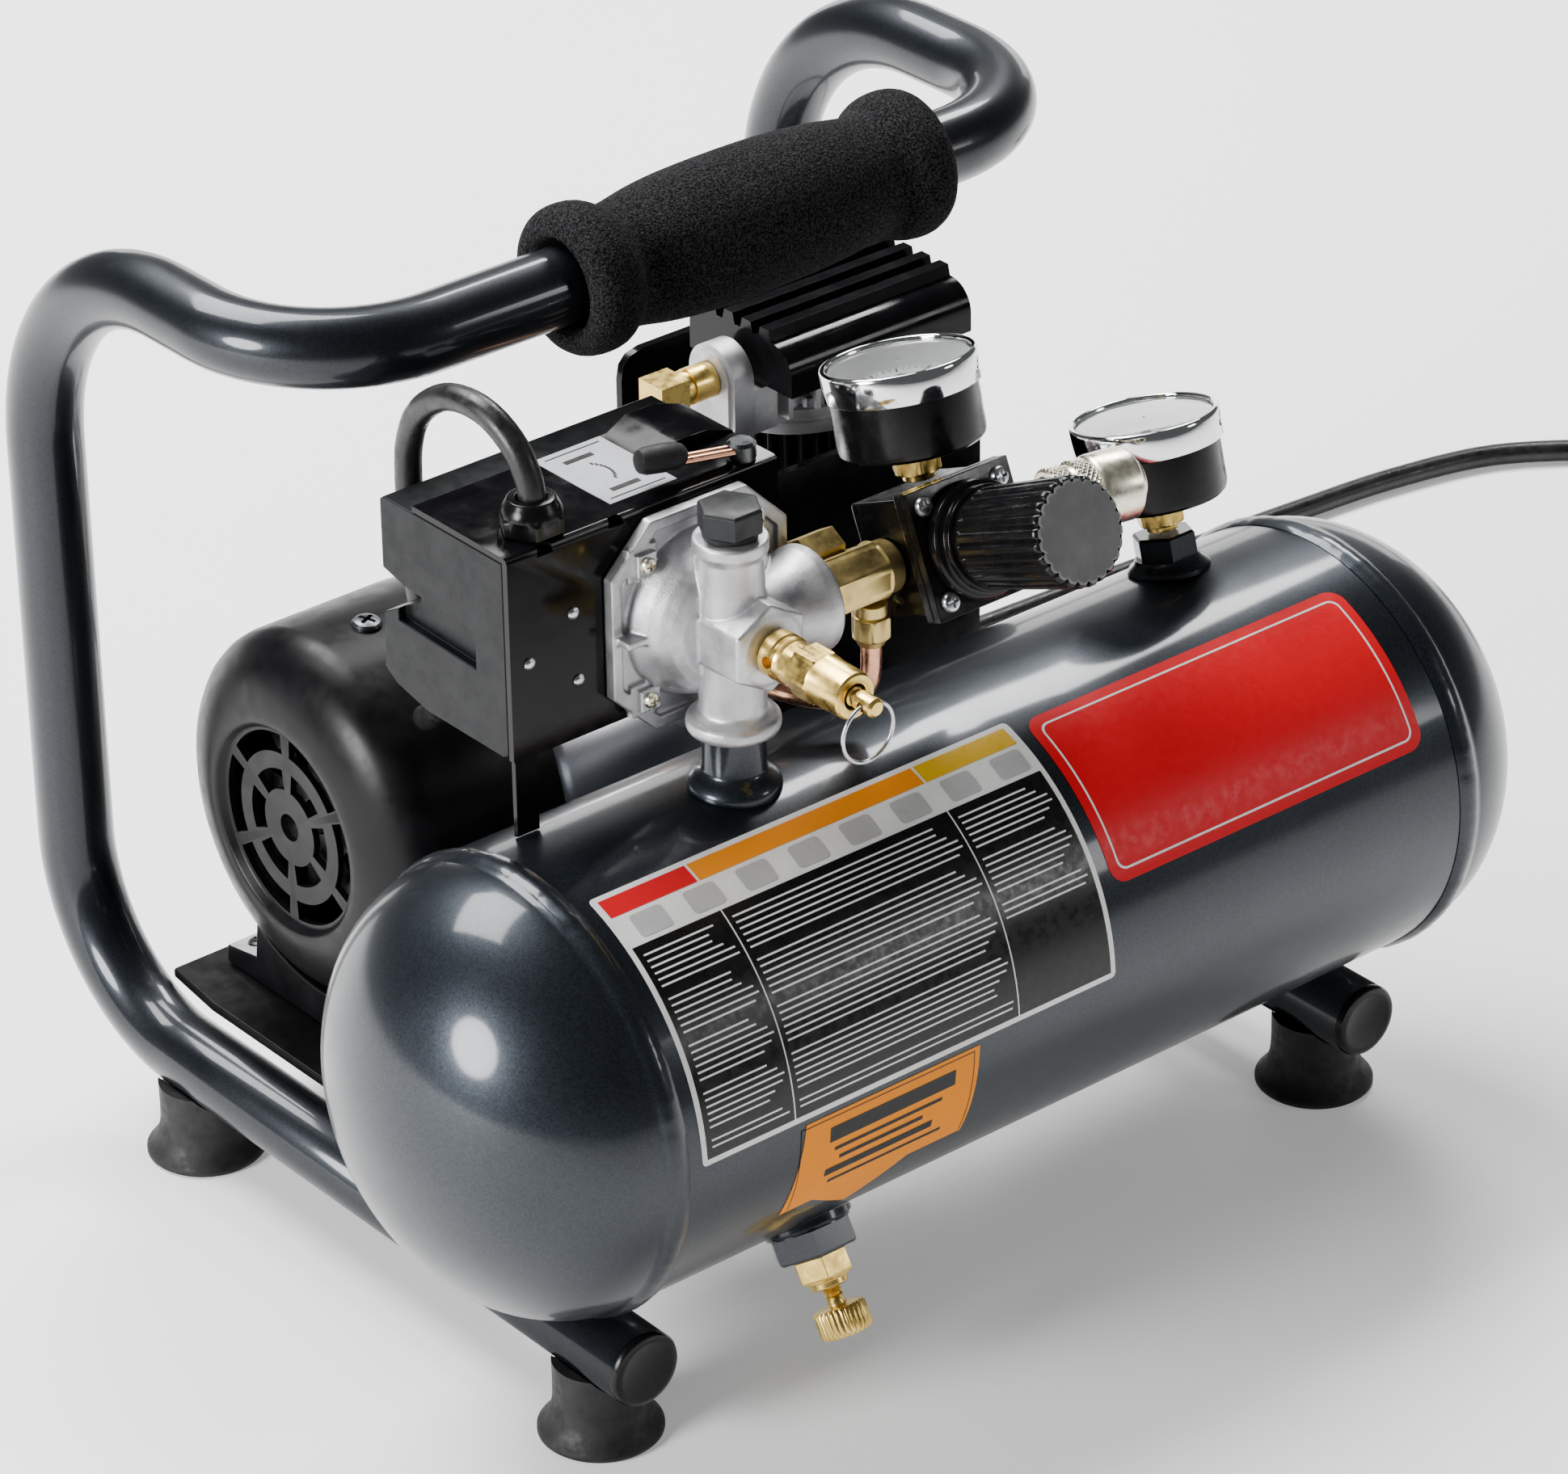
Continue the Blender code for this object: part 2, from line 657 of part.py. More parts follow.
def pump_shroud():
    """Plastic shroud round the crankcase: front, right and rear walls, open to the motor."""
    base = PLATE_TOP + GAP
    front = MOTOR_Y - 0.0355
    rear = MOTOR_Y + 0.0380
    wall = 0.0025
    outline = [(0.018, base), (0.105, base), (0.105, 0.168), (0.102, 0.176), (0.094, 0.180),
               (0.018, 0.180)]
    made = prism("pump_shroud", outline, front, front + wall, 1, black_plastic)
    rear_outline = [(0.033, base), (0.105, base), (0.105, 0.180), (0.101, 0.187), (0.094, 0.190),
                    (0.041, 0.190), (0.035, 0.188), (0.033, 0.182)]
    panel = bmesh.new()
    add_prism(panel, rear_outline, rear - wall, rear, 1)
    join(made, panel)
    side = bmesh.new()
    add_box(side, (0.1025, front + 0.001, base), (0.105, rear - 0.001, 0.168))
    join(made, side)
    slots = bmesh.new()
    for row in range(6):
        height = MOTOR_Z - 0.030 + row * 0.012
        add_box(slots, (0.100, MOTOR_Y - 0.024, height - 0.0025),
                (0.108, MOTOR_Y + 0.024, height + 0.0025))
    cut(made, slots)


def head_elbow():
    """Brass street elbow from the head's boss, down to the delivery tube."""
    y = MOTOR_Y - 0.015
    z = BOSS_Z
    right = PUMP_X - 0.0420 - GAP
    points = [(right, y, z), (0.0130, y, z), (0.0098, y, z - 0.0012), (0.0086, y, z - 0.0045),
              (0.0086, y, z - 0.0140)]
    tube("head_elbow", points, 0.0052, brass, resolution=3)


def delivery_tube():
    """Copper tube from the elbow, under the switch, to the fitting below the inlet coupling."""
    y = MOTOR_Y - 0.015
    route = [(0.0086, y, BOSS_Z - 0.0143), (0.0080, y - 0.001, 0.180), (0.004, y - 0.010, 0.170),
             (-0.006, y - 0.028, 0.165), (-0.020, TANK_Y + 0.072, 0.166),
             (-0.034, TANK_Y + 0.048, 0.171), (-0.041, TANK_Y + 0.032, 0.1740),
             (-0.041, TANK_Y + 0.018, 0.1752), (-0.036, TANK_Y + 0.007, 0.1748),
             (-0.029, TANK_Y + 0.002, 0.1742), (-0.0240, TANK_Y, 0.1765),
             (-0.0222, TANK_Y, 0.1808), (-0.0220, TANK_Y, 0.1885)]
    tube("delivery_tube", smooth_route(route, 0.0075), 0.0028, copper, resolution=2)


# ---------------------------------------------------------------- pressure switch

def switch_housing():
    """Plastic housing with two lobes on its back, open at the front where the plate closes it."""
    low, high = SWITCH_Z
    front = PLATE_Y + 0.0023
    back = TANK_Y + 0.0700
    outline = [(front, low + 0.001), (front, high - GAP), (back - 0.0015, high - GAP),
               (back, high - 0.0015), (back, 0.2190), (TANK_Y + 0.0576, 0.2160),
               (TANK_Y + 0.0576, 0.2130), (back, 0.2062), (back + 0.0008, 0.1900),
               (back - 0.004, 0.1868), (TANK_Y + 0.0534, low), (front + 0.002, low)]
    left, right = SWITCH_X
    made = prism("switch_housing", outline, left, right, 0, black_plastic)
    hollow = bmesh.new()
    add_box(hollow, (left + 0.003, front - 0.005, low + 0.004),
            (right - 0.003, TANK_Y + 0.052, high - 0.004))
    cut(made, hollow)


def switch_plate():
    """Folded metal plate: the front face and top of the switch, a raised lever hood, and a leg that
    stands on the tank."""
    low, high = SWITCH_Z
    front = PLATE_Y
    outline = [(front, low), (front + 0.0020, low), (front + 0.0020, high), (front + 0.0390, high),
               (front + 0.0390, high + 0.0016), (front + 0.0010, high + 0.0016),
               (front, high + 0.0006)]
    left, right = SWITCH_X
    made = prism("switch_plate", outline, left, right, 0, black_metal)
    hood = bmesh.new()
    top = high + 0.0050
    add_prism(hood, [(-0.0640, high + 0.001), (right, high + 0.001), (right, high + 0.0020),
                     (right - 0.0090, top), (-0.0570, top)],
              PLATE_Y + 0.0180, PLATE_Y + 0.0385, 1)
    join(made, hood)
    leg = bmesh.new()
    add_box(leg, (left + 0.0005, front + 0.0002, 0.158), (left + 0.0075, front + 0.0018, low + 0.002))
    join(made, leg)
    seat_on_tank(made)


def switch_lever():
    """Flat lever on an upright pin, with a rubber tip."""
    place = (-0.046, TANK_Y + 0.0220, SWITCH_Z[1] + 0.0016 + GAP)
    made = turned("switch_lever", [(0, 0.0038), (0.0045, 0.0038), (0.0050, 0.0032)], 16, copper,
                  place)
    turn = Euler((0, radians(6), radians(-7)))
    arm = bmesh.new()
    add_box(arm, (-0.0185, -0.0017, 0.0012), (-0.0010, 0.0017, 0.0036))
    join(made, arm, place, turn)
    tip = turned_bm([(-0.0310, 0.0030), (-0.0300, 0.0042), (-0.0195, 0.0045), (-0.0175, 0.0025)],
                    16)
    join(made, tip, Vector(place) + Vector((0, 0, 0.0042)), Euler((0, radians(96), radians(-7))))


def lead_gland():
    rings = [(0, 0.0086), (0.0050, 0.0088), (0.0060, 0.0078), (0.0092, 0.0066), (0.0092, 0.0040),
             (0, 0.0040)]
    turned("lead_gland", rings, 20, black_plastic,
           (-0.110, TANK_Y + 0.0262, SWITCH_Z[1] + 0.0016 + GAP), closed=True)


def motor_lead():
    """Captive lead from the switch's gland, over the switch's back and down to the motor."""
    bottom = SWITCH_Z[1] + 0.0016 + 2 * GAP
    route = [(-0.110, 0.0262, bottom), (-0.1100, 0.0262, 0.2530), (-0.1106, 0.0312, 0.2628),
             (-0.1116, 0.0420, 0.2690), (-0.1120, 0.0560, 0.2680), (-0.1120, 0.0680, 0.2600),
             (-0.1115, 0.0745, 0.2490), (-0.1110, 0.0765, 0.2360), (-0.1100, 0.0770, 0.2200),
             (-0.1080, 0.0775, 0.2000), (-0.1040, 0.0790, 0.1800), (-0.0980, 0.0850, 0.1650),
             (-0.0940, 0.0930, 0.1555), (-0.0920, 0.1002, 0.1502)]
    points = [(x, TANK_Y + y, z) for x, y, z in route]
    tube("motor_lead", smooth_route(points, 0.009), CORD_R, rubber, resolution=2)


# ---------------------------------------------------------------- manifold

def manifold():
    """Cast switch base: an eight-sided flange, a dome, the upright barrel and its side ports."""
    x = MANIFOLD_X + 0.001
    half = 0.0285
    tall = 0.0298
    clip = 0.013
    outline = [(-half, -tall + clip), (-half + clip, -tall), (half - clip, -tall),
               (half, -tall + clip), (half, tall - clip), (half - clip, tall),
               (-half + clip, tall), (-half, tall - clip)]
    back = PLATE_Y - GAP
    made = prism("manifold", outline, back - 0.0036, back, 1, cast_aluminium, (x, 0, PORT_Z))
    dome = turned_bm([(-0.0155, 0.0235), (-0.0125, 0.0230), (-0.0070, 0.0205), (-0.0020, 0.0160)],
                     28)
    join(made, dome, (x, TANK_Y, PORT_Z), TO_FRONT)
    barrel = turned_bm([(0.1810, 0.0110), (0.1820, 0.0124), (0.1850, 0.0124), (0.1862, 0.0086),
                        (0.2310, 0.0086), (0.2325, 0.0098), (0.2360, 0.0098)], 20)
    join(made, barrel, (MANIFOLD_X, TANK_Y, 0))
    boss = turned_bm([(-0.0020, 0.0125, HEX_CORNER_UP), (0.0135, 0.0125, HEX_CORNER_UP),
                      (0.0145, 0.0095)], 24)
    join(made, boss, (-0.0665, TANK_Y, PORT_Z - 0.001), TO_FRONT)
    lobe = turned_bm([(0.0040, 0.0095), (0.0120, 0.0105), (0.0205, 0.0138), (0.0225, 0.0145),
                      (0.0248, 0.0145), (0.0258, 0.0136)], 20)
    join(made, lobe, (MANIFOLD_X, TANK_Y, PORT_Z), TO_RIGHT)


def manifold_fittings():
    turned("manifold_plug", [(0.2363, 0.0072), (0.2385, 0.0072), (0.2387, 0.0088, HEX),
                             (0.2437, 0.0088, HEX), (0.2447, 0.0078, HEX)],
           24, black_plastic, (MANIFOLD_X, TANK_Y, 0))
    nipple = turned("tank_nipple", [(0.1600, 0.0122), (0.1665, 0.0122), (0.1690, 0.0098),
                                    (0.1700, 0.0083), (0.1807, 0.0083), (0.1807, 0.0050),
                                    (0.1600, 0.0050)],
                    24, steel, (MANIFOLD_X, TANK_Y, 0), closed=True)
    seat_on_tank(nipple)
    start = MANIFOLD_X + 0.0258 + GAP
    end = REGULATOR_X - 0.0160 - GAP
    coupling = turned("inlet_coupling", [(start, 0.0060), (start + 0.0020, 0.0084, HEX),
                                         (end - 0.0050, 0.0084, HEX), (end - 0.0045, 0.0072),
                                         (end, 0.0070)],
                      24, brass, (0, TANK_Y, PORT_Z), TO_RIGHT)
    side = turned_bm([(start + 0.0045, 0.0060, HEX), (start + 0.0160, 0.0060, HEX)], 24)
    join(coupling, side, (0, TANK_Y + 0.0105, PORT_Z + 0.0045), TO_RIGHT)
    turned("check_fitting", [(0.1888, 0.0036), (0.1905, 0.0040), (0.1910, 0.0054, HEX),
                             (0.1970, 0.0054, HEX), (0.1975, 0.0042), (0.2008, 0.0042)],
           24, brass, (-0.0220, TANK_Y, 0))


def safety_valve():
    """Brass pop-off valve towards the front, its stem and the pull ring through the stem."""
    place = (-0.0665, TANK_Y, PORT_Z - 0.001)
    turned("safety_valve", [(0.0300, 0.0036), (0.0462, 0.0036), (0.0462, 0.0062), (0.0345, 0.0066),
                            (0.0340, 0.0072, HEX), (0.0270, 0.0072, HEX), (0.0265, 0.0058),
                            (0.0225, 0.0058), (0.0215, 0.0064), (0.0160, 0.0064),
                            (0.0148, 0.0050)],
           24, brass, place, TO_FRONT)
    stem = turned("safety_stem", [(0.0310, 0.0026), (0.0540, 0.0026), (0.0546, 0.0020)], 16, brass,
                  place, TO_FRONT)
    pull = Vector(place) + Vector((0, -0.0510, 0))
    cut(stem, cylinder_bm(0.0012, -0.006, 0.006, 12), pull, TO_RIGHT)
    pull_ring(pull)


def pull_ring(pull):
    """Wire ring that hangs in the stem's cross hole, with its origin in that hole."""
    radius = 0.0080
    wire = 0.0007
    bm = bmesh.new()
    bmesh.ops.create_circle(bm, segments=6, radius=wire, matrix=TO_RIGHT.to_matrix().to_4x4())
    bmesh.ops.spin(bm, geom=bm.edges[:] + bm.verts[:], cent=(0, 0, -radius), axis=(0, 1, 0),
                   angle=2 * pi, steps=24, use_duplicate=False)
    bmesh.ops.remove_doubles(bm, verts=bm.verts, dist=1e-6)
    finish("pull_ring", to_mesh("pull_ring", bm), steel, pull)


# ---------------------------------------------------------------- regulator

def regulator():
    """Body, bonnet and knob on one axis that points forward and REGULATOR_TILT up."""
    place = (REGULATOR_X, TANK_Y, PORT_Z + 0.001)
    turn = Euler((pi / 2 - REGULATOR_TILT, 0, 0))
    side = sqrt(2) / 2
    turned("regulator_body", [(-0.0120, 0.029 * side, SQUARE), (-0.0110, 0.031 * side, SQUARE),
                              (0.0095, 0.031 * side, SQUARE), (0.0100, 0.0345 * side, SQUARE),
                              (0.0130, 0.0345 * side, SQUARE)],
           24, black_plastic, place, turn)
    turned("regulator_bonnet", [(0.0133, 0.0345 * side, SQUARE), (0.0158, 0.0345 * side, SQUARE),
                                (0.0160, 0.0148), (0.0175, 0.0157), (0.0200, 0.0157),
                                (0.0206, 0.0140), (0.0236, 0.0136), (0.0236, 0.0082),
                                (0.0490, 0.0082)],
           24, black_plastic, place, turn)
    flutes = fluted_section(24, 0.045, 48)
    turned("regulator_knob", [(0.0520, 0.0088), (0.0240, 0.0088), (0.0240, 0.0132, flutes),
                              (0.0585, 0.0144, flutes), (0.0600, 0.0136)],
           48, black_plastic, place, turn)


def coupler():
    """Quick coupler on the regulator's right port: a body with a socket, and its sleeve."""
    place = (REGULATOR_X + 0.0160 + 0.0020, TANK_Y, PORT_Z + 0.001)
    turn = Euler((0, pi / 2, -COUPLER_TURN))
    turned("coupler_body", [(0.0300, 0.0050), (0.0450, 0.0050), (0.0450, 0.0062), (0.0430, 0.0068),
                            (0.0065, 0.0068), (0.0060, 0.0085, HEX), (0, 0.0085, HEX)],
           24, nickel, place, turn)
    knurl = fluted_section(14, 0.03, 28)
    turned("coupler_sleeve", [(0.0180, 0.0072), (0.0180, 0.0086), (0.0185, 0.0092, knurl),
                              (0.0235, 0.0092, knurl), (0.0240, 0.0088), (0.0255, 0.0088),
                              (0.0260, 0.0096, knurl), (0.0300, 0.0096, knurl), (0.0305, 0.0100),
                              (0.0425, 0.0100), (0.0425, 0.0072)],
           28, nickel, place, turn, closed=True)


# ---------------------------------------------------------------- gauges

def gauge(name, place):
    """Back-connected dial gauge along its own axis: case, bezel ring and needle."""
    turn = Euler((-GAUGE_LEAN, 0, 0))
    turned(name, [(0.0003, 0.0042), (0.0020, 0.0042), (0.0022, 0.0068, HEX), (0.0078, 0.0068, HEX),
                  (0.0080, 0.0050), (0.0090, 0.0050), (0.0090, 0.0182), (0.0102, 0.0196),
                  (0.0290, 0.0196), (0.0290, 0.0184), (0.0245, 0.0184), (0.0245, 0.0026),
                  (0.0258, 0.0026)],
           26, black_plastic, place, turn)
    turned(name + "_bezel", [(0.0250, 0.0200), (0.0250, 0.0207), (0.0318, 0.0207),
                             (0.0330, 0.0198), (0.0330, 0.0176), (0.0295, 0.0176),
                             (0.0295, 0.0200)],
           26, chrome, place, turn, closed=True)
    hub = 0.0022
    outline = [(hub * cos(a), hub * sin(a)) for a in (radians(30 * i) for i in range(1, 12))]
    outline += [(0.0125, -0.0003), (0.0125, 0.0003)]
    rest = radians(225)
    needle = prism(name + "_needle", outline, 0.0265, 0.0275, 2, red_enamel, place)
    needle.matrix_world = (Matrix.Translation(place) @ turn.to_matrix().to_4x4()
                           @ Matrix.Rotation(rest, 4, "Z"))


def gauges():
    rise = 0.0155 + GAP
    top = Vector((REGULATOR_X, TANK_Y, PORT_Z + 0.001))
    top += Vector((0, sin(REGULATOR_TILT), cos(REGULATOR_TILT))) * (rise + 0.0012)
    gauge("outlet_gauge", top)
    y, z = on_tank(GAUGE_LEAN)
    lift = Vector((0, sin(GAUGE_LEAN), cos(GAUGE_LEAN))) * (0.0105 + GAP)
    gauge("tank_gauge", Vector((GAUGE_X, y, z)) + lift)


# ---------------------------------------------------------------- power cord

POWER_ROUTE = [(-0.0050, 0.2164, 0.0791), (-0.0050, 0.2270, 0.0748), (-0.0045, 0.2355, 0.0680),
               (-0.0020, 0.2425, 0.0570), (0.0040, 0.2478, 0.0430), (0.0140, 0.2510, 0.0290),
               (0.0290, 0.2525, 0.0165), (0.0500, 0.2530, 0.0078), (0.0740, 0.2525, 0.0042),
               (0.1000, 0.2500, CORD_Z), (0.1500, 0.2480, CORD_Z), (0.2100, 0.2450, CORD_Z),
               (0.2700, 0.2420, CORD_Z), (0.3250, 0.2385, CORD_Z), (0.3655, 0.2355, CORD_Z),
               (0.4010, 0.2320, CORD_Z), (0.4370, 0.2235, CORD_Z), (0.4624, 0.2077, CORD_Z),
               (0.4740, 0.1950, CORD_Z), (0.4840, 0.1800, CORD_Z), (0.4940, 0.1650, CORD_Z),
               (0.5060, 0.1515, CORD_Z), (0.5220, 0.1425, CORD_Z), (0.5450, 0.1386, CORD_Z)]


def power_cord():
    """Relief on the motor, the lead over the floor, its stored coil and the plug."""
    reach = MOTOR_R + 0.0006
    place = (RELIEF_X, MOTOR_Y + reach * cos(RELIEF_DROP), MOTOR_Z - reach * sin(RELIEF_DROP))
    turned("cord_relief", [(0, 0.0070), (0.0025, 0.0070), (0.0030, 0.0058), (0.0296, 0.0044)], 20,
           rubber, place, Euler((-pi / 2 - RELIEF_DROP, 0, 0)))
    points = [(x, TANK_Y + y, z) for x, y, z in POWER_ROUTE]
    tube("power_cord", smooth_route(points, 0.017), CORD_R, rubber, resolution=2)
    wide = 2 * CORD_R
    low = 0.0001
    rings = [(low, COIL_R - wide + 0.001), (low, COIL_R + wide - 0.001),
             (low + 0.0015, COIL_R + wide), (low + 3 * wide - 0.0015, COIL_R + wide),
             (low + 3 * wide, COIL_R + wide - 0.001), (low + 3 * wide, COIL_R - wide + 0.001),
             (low + 3 * wide - 0.0015, COIL_R - wide), (low + 0.0015, COIL_R - wide)]
    turned("cord_coil", rings, 28, rubber, (*COIL_CENTRE, 0), closed=True)


def cord_plug():
    """Straight moulded plug beside the coil, with its tapered relief against the last turn."""
    place = (COIL_CENTRE[0] + COIL_R + 2 * CORD_R + 0.0052, COIL_CENTRE[1], 0.0142)
    turn = Euler((-pi / 2, 0, radians(-16)))
    made = turned("cord_plug", [(0, 0.0042), (0.0190, 0.0062), (0.0220, 0.0115, SQUARE),
                                (0.0260, 0.0150, SQUARE), (0.0440, 0.0168, SQUARE),
                                (0.0470, 0.0190, SQUARE), (0.0490, 0.0190, SQUARE)],
                  24, rubber, place, turn)
    blades = bmesh.new()
    for side in (-0.0064, 0.0064):
        add_box(blades, (side - 0.00075, -0.0032, 0.0470), (side + 0.00075, 0.0032, 0.0660))
    matrix = Matrix.Translation((0, 0.0078, 0.0570))
    bmesh.ops.create_cone(blades, cap_ends=True, segments=12, radius1=0.0024, radius2=0.0024,
                          depth=0.0200, matrix=matrix)
    join(made, blades, place, turn)


def build():
    for old in list(bpy.data.objects):
        bpy.data.objects.remove(old, do_unlink=True)
    tank()
    gauge_bung()
    drain()
    frame()
    motor_plate()
    handle_grip()
    motor_shell()
    motor_stator()
    crankshaft()
    fan("motor_fan", -0.1035, 0.012, 0.037, 8, black_plastic)
    motor_foot()
    crankcase()
    wobble_piston()
    cylinder_barrel()
    cylinder_head()
    head_cover()
    pump_shroud()
    fan("pump_fan", 0.0925, 0.006, 0.0315, 8, black_plastic)
    head_elbow()
    delivery_tube()
    switch_housing()
    switch_plate()
    switch_lever()
    lead_gland()
    motor_lead()
    manifold()
    manifold_fittings()
    safety_valve()
    regulator()
    coupler()
    gauges()
    power_cord()
    cord_plug()


build()
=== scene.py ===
"""Looks of the hotdog air compressor: fine surfaces, materials, labels, light and camera, laid
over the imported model. Metres, in the model's own frame."""

import json
from math import cos, pi, radians, sin, sqrt

import bmesh
import bpy
from mathutils import Euler, Matrix, Vector, noise


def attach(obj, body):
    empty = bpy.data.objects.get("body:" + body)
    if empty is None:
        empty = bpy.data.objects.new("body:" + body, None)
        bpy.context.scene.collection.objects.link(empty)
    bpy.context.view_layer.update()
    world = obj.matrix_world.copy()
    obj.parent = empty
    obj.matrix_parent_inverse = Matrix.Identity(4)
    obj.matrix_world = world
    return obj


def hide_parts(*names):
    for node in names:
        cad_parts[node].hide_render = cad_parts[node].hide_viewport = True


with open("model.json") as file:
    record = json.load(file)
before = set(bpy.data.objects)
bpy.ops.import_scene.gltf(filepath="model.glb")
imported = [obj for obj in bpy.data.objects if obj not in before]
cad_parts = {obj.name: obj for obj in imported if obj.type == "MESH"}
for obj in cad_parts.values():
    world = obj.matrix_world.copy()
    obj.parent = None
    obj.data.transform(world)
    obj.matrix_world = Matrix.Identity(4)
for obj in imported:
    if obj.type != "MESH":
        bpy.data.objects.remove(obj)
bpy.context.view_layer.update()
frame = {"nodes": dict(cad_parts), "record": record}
BODY_OF = {node: body
           for body, nodes in frame["record"]["behaviour"]["bodies"].items() for node in nodes}

GAP = 0.0003  # clearance between two pieces that touch
TANK_R = 0.062
TANK_WALL = 0.002
TANK_HALF = 0.1379  # centre to weld seam
HEAD_DEPTH = 0.0458
TANK_Z = 0.1026
SEAT_R = TANK_R + GAP
BEAD = 0.0017  # height of the weld bead over the shell
BEAD_LAP = 0.0035  # reach of the bead along the shell
TUBE_R = 0.0106
TUBE_WALL = 0.0015
TUBE_X = 0.129
TUBE_Z = 0.0285
UPRIGHT_BACK = 0.2185  # upright behind the tank's axis
FRAME_FRONT = 0.033  # tube end in front of the tank's axis
FOOT_BEND = 0.050
TOP_BEND = 0.064
HANDLE_BEND = 0.042
HANDLE_Z = 0.264
HANDLE_BACK = 0.0955
TANK_Y = -((UPRIGHT_BACK + TUBE_R) - (TANK_R + BEAD)) / 2
UPRIGHT_Y = TANK_Y + UPRIGHT_BACK
HANDLE_Y = TANK_Y + HANDLE_BACK
FEET_Y = (TANK_Y - 0.015, TANK_Y + 0.1626)
PLATE_TOP = 0.0425
MOTOR_Y = TANK_Y + 0.137
MOTOR_Z = 0.108
MOTOR_R = 0.0535
CORE_R = MOTOR_R - 0.0025  # laminated core inside the shell
MOTOR_LEFT = -0.115
MOTOR_RIGHT = 0.008
BELL_END = -0.058  # the drawn shell ends here and the bare stator shows; its bright steel is a painted highlight
PUMP_X = 0.066
HEAD_Z = 0.180
BOSS_Y = MOTOR_Y - 0.015
BOSS_Z = 0.2045  # air outlet of the head
BOSS_REACH = 0.0420  # from the cylinder's axis to the outlet's face
COVER_Z = 0.2020  # lower edge of the head's cover
COVER_CROWN = 0.2192  # top of its ribs
COVER_HOLLOW = 0.0050  # depth of the recess under it
DECK_Z = 0.140
SWITCH_X = (-0.125, -0.038)
SWITCH_Z = (0.184, 0.240)
SWITCH_TOP = SWITCH_Z[1] + 0.0016  # top of the plate folded over it
PLATE_Y = TANK_Y + 0.0173  # front face of its metal plate
MANIFOLD_X = -0.068
PORT_Z = 0.2095
VALVE_PLACE = (-0.0665, TANK_Y, PORT_Z - 0.001)
REGULATOR_X = 0.0005
REGULATOR_PLACE = (REGULATOR_X, TANK_Y, PORT_Z + 0.001)
REGULATOR_HALF = 0.0160  # half its width along the tank
REGULATOR_TILT = radians(24)
GAUGE_LEAN = radians(15)
GAUGE_X = 0.098
COUPLER_TURN = radians(10)
DRAIN_X = -0.074
DRAIN_LEAN = radians(32.4)
CORD_R = 0.0036
CORD_Z = CORD_R + 0.0001
COIL_X = 0.545
COIL_BACK = 0.190  # coil's middle behind the tank's axis
COIL_R = 0.040  # middle of the turns
PLUG_PLACE = (COIL_X + COIL_R + 2 * CORD_R + 0.0052, TANK_Y + COIL_BACK, 0.0142)
PLUG_TURN = radians(16)

TO_RIGHT = Euler((0, pi / 2, 0))
TO_FRONT = Euler((pi / 2, 0, 0))
TO_BACK = Euler((-pi / 2, 0, 0))


# ---------------------------------------------------------------- materials

class Look:
    """A node material under construction, in metres of object space."""

    def __init__(self, name, colour, roughness, metallic=0.0, **sockets):
        self.material = bpy.data.materials.new(name)
        self.material.use_nodes = True
        self.tree = self.material.node_tree
        self.shader = self.tree.nodes["Principled BSDF"]
        self.shader.inputs["Base Color"].default_value = (*colour, 1)
        self.shader.inputs["Roughness"].default_value = roughness
        self.shader.inputs["Metallic"].default_value = metallic
        for socket, value in sockets.items():
            self.shader.inputs[socket.replace("_", " ")].default_value = value
        self.space = self.node("ShaderNodeTexCoord").outputs["Object"]
        self.material.diffuse_color = (*colour, 1)

    def node(self, kind, links=(), **settings):
        made = self.tree.nodes.new(kind)
        for key, value in settings.items():
            setattr(made, key, value)
        for socket, value in dict(links).items():
            if isinstance(value, bpy.types.NodeSocket):
                self.tree.links.new(value, made.inputs[socket])
            else:
                made.inputs[socket].default_value = value
        return made

    def stretched(self, scale):
        made = self.node("ShaderNodeMapping", {"Vector": self.space, "Scale": scale})
        return made.outputs["Vector"]

    def noise(self, scale, detail=3.0, rough=0.6, space=None):
        links = {"Vector": space or self.space, "Scale": scale, "Detail": detail, "Roughness": rough}
        return self.node("ShaderNodeTexNoise", links).outputs["Fac"]

    def cells(self, scale, output="Distance"):
        links = {"Vector": self.space, "Scale": scale}
        return self.node("ShaderNodeTexVoronoi", links).outputs[output]

    def range(self, value, low, high, start=0.35, end=0.65):
        links = {"Value": value, "From Min": start, "From Max": end, "To Min": low, "To Max": high}
        return self.node("ShaderNodeMapRange", links).outputs["Result"]

    def math(self, operation, first, second=0.0):
        made = self.node("ShaderNodeMath", operation=operation)
        for socket, value in zip(made.inputs, (first, second)):
            if isinstance(value, bpy.types.NodeSocket):
                self.tree.links.new(value, socket)
            else:
                socket.default_value = value
        return made.outputs["Value"]

    def colours(self, value, first, second):
        made = self.node("ShaderNodeMix", data_type="RGBA")
        made.inputs[6].default_value = (*first, 1)
        made.inputs[7].default_value = (*second, 1)
        self.tree.links.new(value, made.inputs[0])
        self.tree.links.new(made.outputs[2], self.shader.inputs["Base Color"])

    def mottled(self, noise, first, second):
        """Two colours mixed by a noise of the given scale, detail and roughness."""
        self.colours(self.range(self.noise(*noise), 0, 1), first, second)

    def uneven(self, noise, low, high):
        """Roughness that wanders from low to high with a noise."""
        rough = self.range(self.noise(*noise), low, high)
        self.tree.links.new(rough, self.shader.inputs["Roughness"])

    def bump(self, height, strength, distance):
        links = {"Height": height, "Strength": strength, "Distance": distance}
        if self.shader.inputs["Normal"].links:
            links["Normal"] = self.shader.inputs["Normal"].links[0].from_socket
        made = self.node("ShaderNodeBump", links)
        self.tree.links.new(made.outputs["Normal"], self.shader.inputs["Normal"])


def shade(colour, share):
    return tuple(share * part for part in colour)


